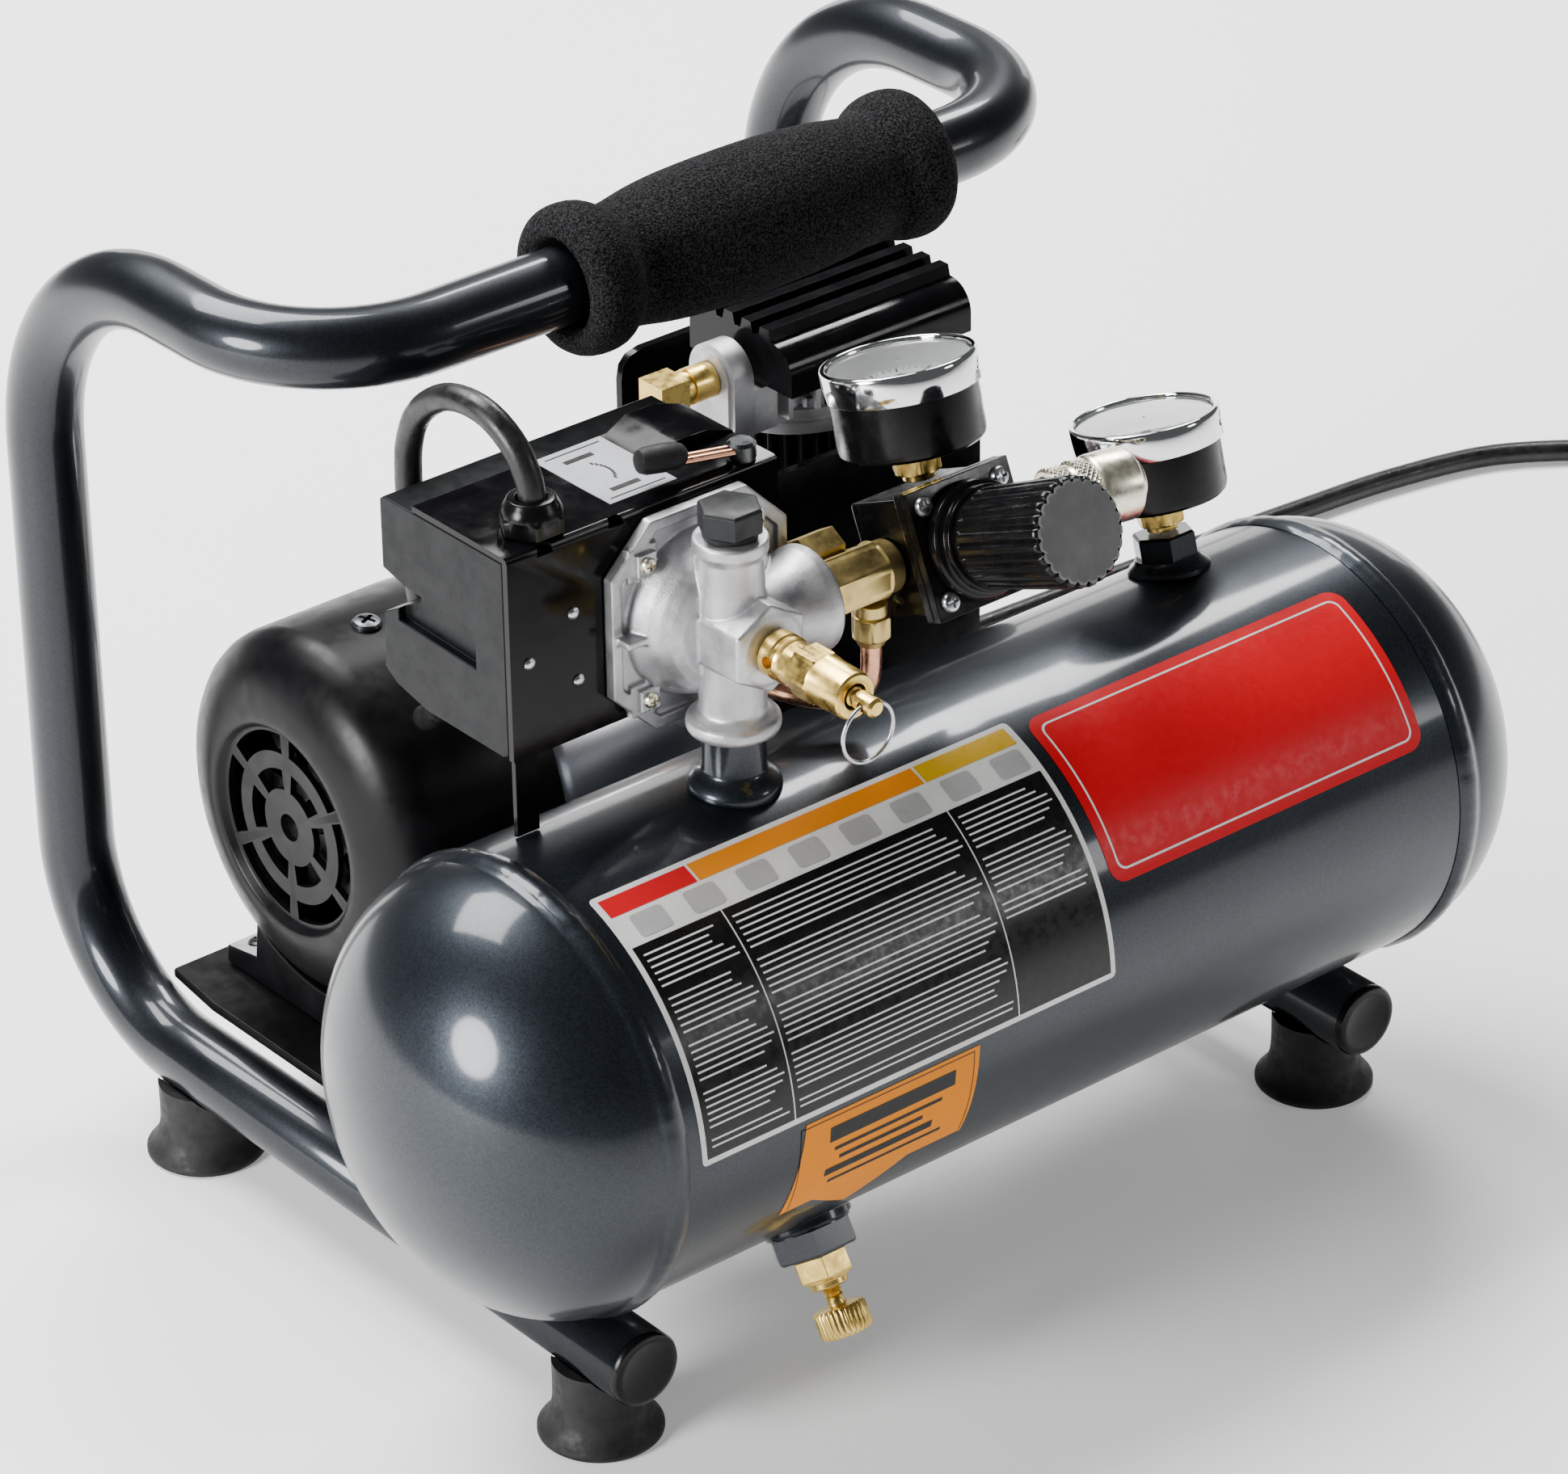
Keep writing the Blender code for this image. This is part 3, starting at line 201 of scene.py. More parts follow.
def metallic_paint(name, depth):
    """Gunmetal paint: fine flakes, darker with a smaller depth, under a coat with orange peel."""
    look = Look(name, (0.05, 0.057, 0.066), 0.36, 0.72, Coat_Weight=0.5, Coat_Roughness=0.10)
    flakes = look.cells(2600, "Color")
    grey = look.node("ShaderNodeRGBToBW", {"Color": flakes}).outputs["Val"]
    look.colours(grey, shade((0.0068, 0.0098, 0.0138), depth), shade((0.0255, 0.035, 0.0475), depth))
    look.uneven((35, 4), 0.33, 0.41)
    look.bump(grey, 0.12, 0.00006)
    look.bump(look.noise(300, 2), 0.06, 0.0003)
    return look.material


def black_enamel(name, roughness=0.36, peel=0.10, shine=0.35):
    look = Look(name, (0.003, 0.003, 0.0035), roughness, 0.0, Specular_IOR_Level=shine)
    look.mottled((60, 5), (0.0018, 0.0018, 0.0022), (0.0042, 0.0042, 0.005))
    look.uneven((140, 4), roughness - 0.05, roughness + 0.07)
    look.bump(look.noise(900, 2), peel, 0.0001)
    return look.material


def moulded_plastic(name, colour, roughness, grain=0.15, shine=0.4):
    look = Look(name, colour, roughness, Specular_IOR_Level=shine)
    look.mottled((90, 5), shade(colour, 0.7), colour)
    look.uneven((220, 4), roughness - 0.07, roughness + 0.09)
    look.bump(look.noise(2200, 3), grain, 0.00005)
    return look.material


def foam_skin(name):
    """Open-cell foam: dark pores half a millimetre wide, and a matt skin."""
    look = Look(name, (0.006, 0.006, 0.0065), 1.0, 0.0, Specular_IOR_Level=0.08)
    pores = look.cells(1700)
    grain = look.noise(1500, 3, 0.7)
    look.colours(look.range(grain, 0, 1, 0.42, 0.62), (0.0015, 0.0015, 0.0016), (0.030, 0.030, 0.032))
    look.bump(pores, 0.8, 0.0004)
    look.bump(look.noise(700, 5, 0.7), 0.5, 0.0004)
    look.bump(look.noise(60, 3), 0.12, 0.002)
    return look.material


def rubber_skin(name, roughness=0.62):
    look = Look(name, (0.006, 0.006, 0.0065), roughness, 0.0, Specular_IOR_Level=0.35)
    look.mottled((110, 6, 0.7), (0.004, 0.004, 0.0045), (0.012, 0.012, 0.012))
    look.uneven((300, 4), roughness - 0.12, roughness + 0.1)
    look.bump(look.noise(1300, 4), 0.25, 0.0002)
    return look.material


def cast_metal(name):
    """Die-cast aluminium: a fine grain, faint flow marks and dull patches."""
    look = Look(name, (0.70, 0.70, 0.71), 0.42, 0.88)
    look.mottled((70, 6, 0.65), (0.40, 0.40, 0.42), (0.60, 0.60, 0.61))
    look.uneven((160, 5), 0.34, 0.52)
    look.bump(look.noise(1800, 4, 0.7), 0.50, 0.00018)
    look.bump(look.noise(260, 3), 0.14, 0.0004)
    return look.material


def turned_metal(name, colour, roughness, marks=0.12, tarnish=0.8):
    """Metal from a lathe: fine marks round its own Z axis, with a little tarnish."""
    look = Look(name, colour, roughness, 1.0)
    look.mottled((180, 5, 0.7), shade(colour, tarnish), colour)
    look.uneven((240, 4), roughness - 0.07, roughness + 0.1)
    look.bump(look.noise(1, 2, 0.5, look.stretched((60, 60, 5200))), marks, 0.00008)
    return look.material


def sheet_metal(name, colour):
    """Smooth bright sheet with a faint grain. On the bare stator the brightness is a painted highlight, in
    place of a glare.
    """
    look = Look(name, colour, 0.28, 1.0)
    look.mottled((30, 3), shade(colour, 0.93), colour)
    look.uneven((18, 2), 0.26, 0.29)
    look.bump(look.noise(1400, 2), 0.02, 0.0001)
    return look.material


def knurled_metal(name, colour, roughness, count, pitch):
    """As turned metal, with a diamond knurl of count lines round the axis."""
    look = Look(name, colour, roughness, 1.0)
    look.mottled((180, 5, 0.7), shade(colour, 0.75), colour)
    apart = look.node("ShaderNodeSeparateXYZ", {"Vector": look.space})
    angle = look.math("MULTIPLY", look.math("ARCTAN2", apart.outputs["Y"], apart.outputs["X"]), count)
    along = look.math("MULTIPLY", apart.outputs["Z"], 2 * pi / pitch)
    one = look.math("SINE", look.math("ADD", angle, along))
    two = look.math("SINE", look.math("SUBTRACT", angle, along))
    look.bump(look.math("MAXIMUM", one, two), 0.8, 0.0004)
    return look.material


def mirror_chrome(name):
    look = Look(name, (0.80, 0.81, 0.83), 0.07, 1.0)
    look.uneven((90, 5, 0.7), 0.04, 0.13)
    look.bump(look.noise(400, 2), 0.03, 0.0002)
    return look.material


def clear_lens(name):
    look = Look(name, (0.96, 0.97, 0.98), 0.03, 0.0, Transmission_Weight=1.0, IOR=1.45)
    look.uneven((150, 4), 0.01, 0.06)
    return look.material


def printed(name, colour, roughness=0.32, wear=0.82, shine=0.3):
    """Printed film: an even colour with slight fading and a faint grain."""
    look = Look(name, colour, roughness, 0.0, Specular_IOR_Level=shine)
    look.mottled((45, 6, 0.7), shade(colour, wear), colour)
    look.uneven((400, 3), roughness - 0.05, roughness + 0.08)
    look.bump(look.noise(700, 3), 0.06, 0.0001)
    return look.material


PAINT = metallic_paint("gunmetal_paint", 0.72)
FRAME_PAINT = metallic_paint("gunmetal_frame_paint", 0.45)
ENAMEL = black_enamel("satin_black_enamel", 0.34, 0.08, 0.16)
GLOSS = black_enamel("gloss_black_enamel", 0.13, 0.03, 0.15)
HOUSING = moulded_plastic("satin_housing", (0.004, 0.0047, 0.0055), 0.38, shine=0.12)
PLASTIC = moulded_plastic("black_plastic", (0.0035, 0.0035, 0.004), 0.22, 0.05, 0.22)
KNOB_FACE = moulded_plastic("grey_knob_face", (0.135, 0.135, 0.138), 0.55, 0.3)
GREY_PLUG = moulded_plastic("grey_plug", (0.008, 0.009, 0.010), 0.45, 0.2, 0.3)
FOAM = foam_skin("black_foam")
RUBBER = rubber_skin("black_rubber")
CABLE = rubber_skin("cable_rubber", 0.38)
CAST = cast_metal("cast_aluminium")
BRASS = turned_metal("brass", (0.86, 0.60, 0.17), 0.30, 0.06, 0.85)
DULL_BRASS = turned_metal("dull_brass", (0.66, 0.50, 0.19), 0.38, 0.06, 0.85)
COPPER = turned_metal("copper", (0.78, 0.40, 0.25), 0.28)
STEEL = turned_metal("steel", (0.62, 0.63, 0.65), 0.28)
# Real stator steel, made bright as a painted highlight standing in for a glare
STEEL_AS_PAINTED_GLARE = sheet_metal("stator_steel_painted_glare", (0.80, 0.81, 0.84))
DARK_STEEL = turned_metal("dark_steel", (0.10, 0.105, 0.11), 0.32)
NICKEL = turned_metal("nickel", (0.86, 0.82, 0.66), 0.30, 0.05, 0.9)
KNURL = knurled_metal("nickel_knurl", (0.80, 0.76, 0.62), 0.3, 30, 0.0016)
CHROME = mirror_chrome("chrome")
LENS = clear_lens("gauge_lens")
DIAL = printed("dial_white", (0.88, 0.88, 0.87), 0.4, 0.97)
INK = printed("dial_black", (0.006, 0.006, 0.006), 0.4)
NEEDLE = printed("needle_red", (0.50, 0.02, 0.015), 0.4)
LABEL_WHITE = printed("label_white", (0.82, 0.82, 0.81))
LABEL_BLACK = printed("label_black", (0.004, 0.004, 0.0045), 0.28)
LABEL_RED = printed("label_red", (0.60, 0.0015, 0.010), 0.34, 0.95, 0.16)
LABEL_ORANGE = printed("label_orange", (0.80, 0.24, 0.001), 0.38, 0.95, 0.12)
LABEL_AMBER = printed("label_amber", (0.68, 0.40, 0.004), 0.3, 0.95)
LABEL_GREY = printed("label_grey", (0.45, 0.45, 0.45), 0.3)
LABEL_SILVER = printed("label_silver", (0.45, 0.46, 0.48), 0.34)


# ---------------------------------------------------------------- shapes

def round_section(angle):
    return 1.0


def polygon_section(flats, turn=0.0):
    half = pi / flats

    def factor(angle):
        return cos(half) / cos((angle - turn + half - pi / 2) % (2 * half) - half)

    return factor


HEX = polygon_section(6)
HEX_CORNER_UP = polygon_section(6, pi / 6)
SQUARE = polygon_section(4)


def wave_section(count, depth, sharpness=1.0):
    """Ridges round the axis: flat crests with a groove of the given depth between them."""

    def factor(angle):
        return 1 - depth * (0.5 - 0.5 * cos(count * angle)) ** sharpness

    return factor


def stood(name, data):
    """A new object in the scene that shows the given data."""
    made = bpy.data.objects.new(name, data)
    bpy.context.scene.collection.objects.link(made)
    return made


def shape(name, bm, place=(0, 0, 0), turn=None):
    bmesh.ops.recalc_face_normals(bm, faces=bm.faces)
    mesh = bpy.data.meshes.new(name)
    bm.to_mesh(mesh)
    bm.free()
    made = stood(name, mesh)
    made.location = place
    if turn is not None:
        made.rotation_euler = turn
    return made


def dress(made, look, node=None, body=None, edge=0.0, sharp=32, segments=3):
    """Gives a piece its material, shading, rounded edges and the body that it rides on."""
    made.data.materials.clear()
    made.data.materials.append(look)
    if made.type == "MESH":
        for face in made.data.polygons:
            face.use_smooth = True
        made.data.set_sharp_from_angle(angle=radians(sharp))
    if edge:
        bevel = made.modifiers.new("soft_edges", "BEVEL")
        bevel.width = edge
        bevel.segments = segments
        bevel.limit_method = "ANGLE"
        bevel.angle_limit = radians(sharp)
        bevel.harden_normals = True
    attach(made, body or BODY_OF[node])
    if node:
        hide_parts(node)
    return made


def turned_bm(rings, sides, closed=False):
    bm = bmesh.new()
    loops = []
    for ring in rings:
        height, radius = ring[:2]
        section = ring[2] if len(ring) > 2 else round_section
        loop = []
        for index in range(sides):
            angle = 2 * pi * index / sides
            reach = radius * section(angle)
            loop.append(bm.verts.new((reach * cos(angle), reach * sin(angle), height)))
        loops.append(loop)
    pairs = list(zip(loops, loops[1:]))
    if closed:
        pairs.append((loops[-1], loops[0]))
    for low, high in pairs:
        for index in range(sides):
            after = (index + 1) % sides
            bm.faces.new((low[index], low[after], high[after], high[index]))
    if not closed:
        bm.faces.new(loops[0])
        bm.faces.new(loops[-1])
    return bm


def turned(name, rings, sides, place=(0, 0, 0), turn=None, closed=False):
    return shape(name, turned_bm(rings, sides, closed), place, turn)


def lathe(node, look, rings, sides, place, turn=None, closed=False, **finish):
    """A turned piece that stands for a whole node."""
    made = turned(node + "_skin", rings, sides, place, turn, closed)
    return dress(made, look, node, **finish)


def cylinder_bm(radius, low, high, sides=64):
    return turned_bm([(low, radius), (high, radius)], sides)


def add_prism(bm, outline, low, high, axis):
    corners = []
    for first, second in outline:
        point = [first, second]
        point.insert(axis, low)
        corners.append(bm.verts.new(point))
    face = bm.faces.new(corners)
    pushed = bmesh.ops.extrude_face_region(bm, geom=[face])
    moved = [item for item in pushed["geom"] if isinstance(item, bmesh.types.BMVert)]
    shift = Vector((0, 0, 0))
    shift[axis] = high - low
    bmesh.ops.translate(bm, verts=moved, vec=shift)


def prism(name, outline, low, high, axis, place=(0, 0, 0)):
    bm = bmesh.new()
    add_prism(bm, outline, low, high, axis)
    return shape(name, bm, place)


def add_box(bm, low, high):
    size = Vector(high) - Vector(low)
    centre = (Vector(high) + Vector(low)) / 2
    bmesh.ops.create_cube(bm, size=1, matrix=Matrix.Translation(centre) @ Matrix.Diagonal((*size, 1)))


def box_bm(low, high):
    bm = bmesh.new()
    add_box(bm, low, high)
    return bm


def combine(target, bm, place, turn, operation):
    """A Boolean with its result kept in the target's mesh."""
    other = shape("tool", bm, place, turn)
    step = target.modifiers.new("boolean", "BOOLEAN")
    step.object = other
    step.operation = operation
    step.solver = "EXACT"
    bpy.context.view_layer.update()
    graph = bpy.context.evaluated_depsgraph_get()
    target.data = bpy.data.meshes.new_from_object(target.evaluated_get(graph))
    target.modifiers.clear()
    bpy.data.objects.remove(other)
    return target


def cut(target, bm, place=(0, 0, 0), turn=None):
    return combine(target, bm, place, turn, "DIFFERENCE")


def join(target, bm, place=(0, 0, 0), turn=None):
    return combine(target, bm, place, turn, "UNION")


def seat_on_tank(target):
    return cut(target, cylinder_bm(SEAT_R, -0.16, 0.16, 180), (0, TANK_Y, TANK_Z), TO_RIGHT)


def arc(centre, start, end, count):
    centre = Vector(centre)
    first = Vector(start) - centre
    last = Vector(end) - centre
    return [centre + first * cos(pi / 2 * i / count) + last * sin(pi / 2 * i / count)
            for i in range(count + 1)]


def smooth_route(points, spacing):
    """Even points on a Catmull-Rom curve through the route's own points."""
    points = [Vector(point) for point in points]
    ends = [2 * points[0] - points[1], *points, 2 * points[-1] - points[-2]]
    fine = []
    for before, start, end, after in zip(ends, ends[1:], ends[2:], ends[3:]):
        for step in range(30):
            t = step / 30
            fine.append(0.5 * (2 * start + (end - before) * t
                               + (2 * before - 5 * start + 4 * end - after) * t ** 2
                               + (3 * start - before - 3 * end + after) * t ** 3))
    fine.append(points[-1])
    length = sum((b - a).length for a, b in zip(fine, fine[1:]))
    count = max(2, round(length / spacing))
    even = [fine[0]]
    walked = 0.0
    for start, end in zip(fine, fine[1:]):
        walked += (end - start).length
        if walked >= length * len(even) / count and len(even) < count:
            even.append(end)
    return even + [fine[-1]]


def tube(name, points, radius, resolution=10, wall=0.0):
    curve = bpy.data.curves.new(name, "CURVE")
    curve.dimensions = "3D"
    curve.bevel_depth = radius
    curve.bevel_resolution = resolution
    curve.use_fill_caps = not wall
    spline = curve.splines.new("POLY")
    spline.points.add(len(points) - 1)
    for target, point in zip(spline.points, points):
        target.co = (*point, 1)
    spline.use_smooth = True
    made = stood(name, curve)
    if wall:
        skin = made.modifiers.new("wall", "SOLIDIFY")
        skin.thickness = wall
        skin.offset = -1
    return made


def on_tank(lean):
    return TANK_Y + TANK_R * sin(lean), TANK_Z + TANK_R * cos(lean)


def screw(name, place, turn, radius, look, height=0.0016):
    """Pan head with a cross recess, standing on its own base plane."""
    rings = [(0, radius), (0.45 * height, radius), (0.8 * height, 0.86 * radius),
             (height, 0.55 * radius), (1.04 * height, 0.2 * radius)]
    made = turned(name, rings, 32, place, turn)
    long = 0.62 * radius
    wide = 0.14 * radius
    for x, y in ((long, wide), (wide, long)):
        cut(made, box_bm((-x, -y, 0.35 * height), (x, y, 2 * height)), place, turn)
    return dress(made, look, body="frame")


# ---------------------------------------------------------------- camera, light, floor

def camera():
    """Long lens, above and in front of the tank's left end."""
    azimuth = radians(-39.432)
    elevation = radians(29.429)
    roll = radians(-0.807)
    back = Vector((sin(azimuth) * cos(elevation), -cos(azimuth) * cos(elevation), sin(elevation)))
    level = Vector((cos(azimuth), sin(azimuth), 0))
    upright = back.cross(level)
    right = cos(roll) * level + sin(roll) * upright
    up = -sin(roll) * level + cos(roll) * upright
    data = bpy.data.cameras.new("camera")
    data.lens = 145.46
    data.sensor_width = 36
    data.sensor_fit = "HORIZONTAL"
    made = stood("camera", data)
    place = Vector((-0.9500, TANK_Y - 1.0926, 0.9699))
    turn = Matrix((right, up, back)).transposed().to_4x4()
    made.matrix_world = Matrix.Translation(place) @ turn
    bpy.context.scene.camera = made


def softbox(name, place, target, size, power, shape="RECTANGLE"):
    data = bpy.data.lights.new(name, "AREA")
    data.shape = shape
    data.size, data.size_y = size
    data.energy = power
    made = stood(name, data)
    made.location = place
    aim = Vector(target) - Vector(place)
    made.rotation_euler = aim.to_track_quat("-Z", "Y").to_euler()


def studio():
    softbox("key", (-1.58, 0.07, 0.63), (-0.15, -0.08, 0.10), (0.62, 0.62), 42, "DISK")
    softbox("sky", (-0.15, 1.15, 1.9), (0, 0.35, 0), (1.5, 1.0), 110)
    softbox("top", (0.95, 0.66, 1.32), (0.05, -0.05, 0.14), (0.50, 0.36), 20)
    softbox("behind", (1.35, 1.35, 0.30), (0.05, -0.03, 0.14), (1.6, 0.36), 6)
    softbox("front", (1.1, -1.5, 0.80), (0, -0.08, 0.12), (0.4, 0.4), 5)
    world = bpy.data.worlds.new("studio")
    world.use_nodes = True
    world.node_tree.nodes["Background"].inputs["Color"].default_value = (0.97, 0.98, 1.0, 1)
    world.node_tree.nodes["Background"].inputs["Strength"].default_value = 0.10
    bpy.context.scene.world = world
    bm = bmesh.new()
    bmesh.ops.create_grid(bm, x_segments=1, y_segments=1, size=5)
    floor = shape("floor", bm, (0, 0, -0.0002))
    look = Look("pale_floor", (0.92, 0.92, 0.92), 0.7, Emission_Color=(1, 1, 1, 1),
                Emission_Strength=0.25)
    look.uneven((8, 3), 0.6, 0.75)
    floor.data.materials.append(look.material)


# ---------------------------------------------------------------- cord

POWER_ROUTE = [(-0.0050, 0.2164, 0.0791), (-0.0050, 0.2270, 0.0748), (-0.0045, 0.2355, 0.0680),
               (-0.0020, 0.2425, 0.0570), (0.0040, 0.2478, 0.0430), (0.0140, 0.2510, 0.0290),
               (0.0290, 0.2525, 0.0165), (0.0500, 0.2530, 0.0078), (0.0740, 0.2525, 0.0042),
               (0.1000, 0.2500, CORD_Z), (0.1500, 0.2480, CORD_Z), (0.2100, 0.2450, CORD_Z),
               (0.2700, 0.2420, CORD_Z), (0.3250, 0.2385, CORD_Z), (0.3655, 0.2355, CORD_Z),
               (0.4010, 0.2320, CORD_Z), (0.4370, 0.2235, CORD_Z), (0.4624, 0.2077, CORD_Z),
               (0.4740, 0.1950, CORD_Z), (0.4840, 0.1800, CORD_Z), (0.4940, 0.1650, CORD_Z),
               (0.5060, 0.1515, CORD_Z), (0.5220, 0.1425, CORD_Z), (0.5450, 0.1386, CORD_Z)]


def ease(value):
    value = min(1.0, max(0.0, value))
    return value * value * (3 - 2 * value)


def coil_route():
    """Four turns, two beside each other and two layers high, then up and off to the plug. The
    angle runs on from -90 degrees, where the cord arrives."""
    arrival, outer, inner, layer = 0.0514, 0.0438, 0.0365, 0.0073
    points = []
    for turn in range(10, 1521, 10):
        reach = arrival
        reach += (outer - arrival) * ease(turn / 100)
        reach += (inner - outer) * ease((turn - 360) / 100)
        reach += (outer - inner) * ease((turn - 990) / 80)
        height = CORD_Z + layer * ease((turn - 640) / 70) + layer * ease((turn - 1350) / 80)
        angle = radians(turn - 90)
        points.append(Vector((COIL_X + reach * cos(angle), COIL_BACK + reach * sin(angle), height)))
    return points


def power_cord():
    """From the relief at the motor's rear to the plug. The route's Y starts at the tank's axis."""
    route = [Vector(point) for point in POWER_ROUTE] + coil_route()
    plug = Vector((PLUG_PLACE[0], PLUG_PLACE[1] - TANK_Y, PLUG_PLACE[2]))
    aim = Vector((sin(PLUG_TURN), cos(PLUG_TURN), 0))
    route += [plug - aim * 0.012 + Vector((0, 0, 0.0012)), plug + aim * 0.001]
    points = [(p[0], TANK_Y + p[1], p[2]) for p in smooth_route(route, 0.004)]
    made = tube("mains_cord", points, CORD_R, 6)
    dress(made, CABLE, "power_cord")
    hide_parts("cord_coil")
    plug_piece = cord_plug()


def cord_plug():
    """Moulded two-blade plug with an earth pin, and its ribbed relief."""
    place = PLUG_PLACE
    turn = Euler((-pi / 2, 0, -PLUG_TURN))
    rings = [(0, 0.0042)]
    for rib in range(6):
        base = 0.0016 + rib * 0.0029
        wide = 0.0046 + rib * 0.00028
        rings += [(base, wide), (base + 0.0017, wide), (base + 0.0020, wide - 0.0009),
                  (base + 0.0026, wide - 0.0009)]
    rings += [(0.0190, 0.0062), (0.0220, 0.0115, SQUARE), (0.0260, 0.0150, SQUARE),
              (0.0440, 0.0168, SQUARE), (0.0470, 0.0190, SQUARE), (0.0490, 0.0190, SQUARE)]
    made = turned("plug_body", rings, 64, place, turn)
    dress(made, RUBBER, "cord_plug", edge=0.0006, sharp=40)
    blades = bmesh.new()
    for side in (-0.0064, 0.0064):
        add_box(blades, (side - 0.00075, -0.0032, 0.0485), (side + 0.00075, 0.0032, 0.0660))
    bmesh.ops.create_cone(blades, cap_ends=True, segments=32, radius1=0.0024, radius2=0.0022,
                          depth=0.0185, matrix=Matrix.Translation((0, 0.0078, 0.0577)))
    metal = dress(shape("plug_blades", blades, place, turn), BRASS, body="frame", edge=0.0003)
    world = metal.matrix_world.copy()
    metal.parent = made
    metal.matrix_world = world
    return made


# ---------------------------------------------------------------- tank

def dome(radius, depth, steps):
    """Rings of a dished head, up to a small flat at its pole."""
    last = radians(89.2)
    angles = [last * index / steps for index in range(steps + 1)]
    return [(depth * sin(angle) / sin(last), radius * cos(angle)) for angle in angles]


def bead_section(phase):
    """Weld ripples: the bead's height wanders a little round the seam."""

    def factor(angle):
        wander = noise.noise(Vector((9 * cos(angle), 9 * sin(angle), phase)))
        ripple = 0.0011 * sin(150 * angle + 3 * wander)
        return 1 + 0.0035 * wander + ripple

    return factor


def tank():
    half = TANK_HALF - GAP / 2
    inside = TANK_R - TANK_WALL
    rings = [(-half, TANK_R), (half, TANK_R), (half, inside), (-half, inside)]
    lathe("tank_shell", PAINT, rings, 180, (0, TANK_Y, TANK_Z), TO_RIGHT, closed=True)
    for side, name in ((-1, "left"), (1, "right")):
        inner = dome(inside, HEAD_DEPTH - TANK_WALL, 6)
        skin = dome(TANK_R, HEAD_DEPTH, 28)
        wavy = bead_section(side)
        rise = GAP / 2
        bead = [(0, TANK_R + GAP), (-BEAD_LAP, TANK_R + 0.0002),
                (-0.85 * BEAD_LAP, TANK_R + 0.3 * BEAD, wavy),
                (-0.5 * BEAD_LAP, TANK_R + 0.68 * BEAD, wavy), (0, TANK_R + 0.85 * BEAD, wavy),
                (0.5 * BEAD_LAP, TANK_R + 0.68 * BEAD, wavy),
                (0.9 * BEAD_LAP, TANK_R + 0.25 * BEAD, wavy), (1.15 * BEAD_LAP, TANK_R - 0.0003)]
        rings = [*reversed(inner), *bead, *[ring for ring in skin if ring[0] > 0.0045]]
        rings = [(ring[0] + rise, *ring[1:]) for ring in rings]
        head = turned("tank_head_skin_" + name, rings, 240,
                      (side * TANK_HALF, TANK_Y, TANK_Z), Euler((0, side * pi / 2, 0)))
        dress(head, PAINT, "tank_head_" + name, sharp=50)


def gauge_bung():
    rings = [(-0.003, 0.0115), (0.0006, 0.0115), (0.0016, 0.0107), (0.0026, 0.0094),
             (0.0038, 0.0088), (0.0038, 0.0090, HEX), (0.0098, 0.0090, HEX), (0.0105, 0.0083, HEX)]
    y, z = on_tank(GAUGE_LEAN)
    bung = turned("gauge_bung_skin", rings, 96, (GAUGE_X, y, z), Euler((-GAUGE_LEAN, 0, 0)))
    dress(seat_on_tank(bung), PAINT, "gauge_bung", edge=0.0003)


def drain():
    lean = pi + DRAIN_LEAN
    y, z = on_tank(lean)
    place = (DRAIN_X, y, z)
    turn = Euler((-lean, 0, 0))
    rings = [(-0.004, 0.0125), (0.0010, 0.0125), (0.0018, 0.0116), (0.0022, 0.0116),
             (0.0022, 0.0122, HEX), (0.0085, 0.0122, HEX), (0.0092, 0.0114, HEX)]
    bung = turned("drain_bung_skin", rings, 96, place, turn)
    dress(seat_on_tank(bung), PAINT, "drain_bung", edge=0.0003)
    rings = [(0.0125, 0.0030), (0.0185, 0.0030), (0.0187, 0.0034), (0.0187, 0.0047), (0.0183, 0.0052),
             (0.0168, 0.0052), (0.0164, 0.0066), (0.0161, 0.0074, HEX), (0.0154, 0.0080, HEX),
             (0.0098, 0.0080, HEX), (0.0095, 0.0077, HEX)]
    lathe("drain_fitting", BRASS, rings, 96, place, turn, edge=0.0002)
    ridges = wave_section(30, 0.055, 1.5)
    rings = [(0.0130, 0.0026)]
    for thread in range(7):
        rings += [(0.0134 + thread * 0.0013, 0.0026), (0.0140 + thread * 0.0013, 0.0022)]
    rings += [(0.0238, 0.0026), (0.0238, 0.0030), (0.0242, 0.0066), (0.0250, 0.0072, ridges),
              (0.0310, 0.0072, ridges), (0.0318, 0.0066), (0.0320, 0.0058)]
    dress(turned("drain_screw_skin", rings, 240, place, turn), BRASS, "drain_screw", sharp=50)


# ---------------------------------------------------------------- frame

def frame_path():
    corner = UPRIGHT_Y - FOOT_BEND
    top = UPRIGHT_Y - TOP_BEND
    left = [Vector((-TUBE_X, TANK_Y - FRAME_FRONT, TUBE_Z))]
    left += arc((-TUBE_X, corner, TUBE_Z + FOOT_BEND), (-TUBE_X, corner, TUBE_Z),
                (-TUBE_X, UPRIGHT_Y, TUBE_Z + FOOT_BEND), 22)
    left += arc((-TUBE_X, top, HANDLE_Z - TOP_BEND), (-TUBE_X, UPRIGHT_Y, HANDLE_Z - TOP_BEND),
                (-TUBE_X, top, HANDLE_Z), 26)
    inward = -TUBE_X + HANDLE_BEND
    left += arc((inward, HANDLE_Y + HANDLE_BEND, HANDLE_Z),
                (-TUBE_X, HANDLE_Y + HANDLE_BEND, HANDLE_Z), (inward, HANDLE_Y, HANDLE_Z), 22)
    right = [Vector((-point.x, point.y, point.z)) for point in reversed(left)]
    return left + right


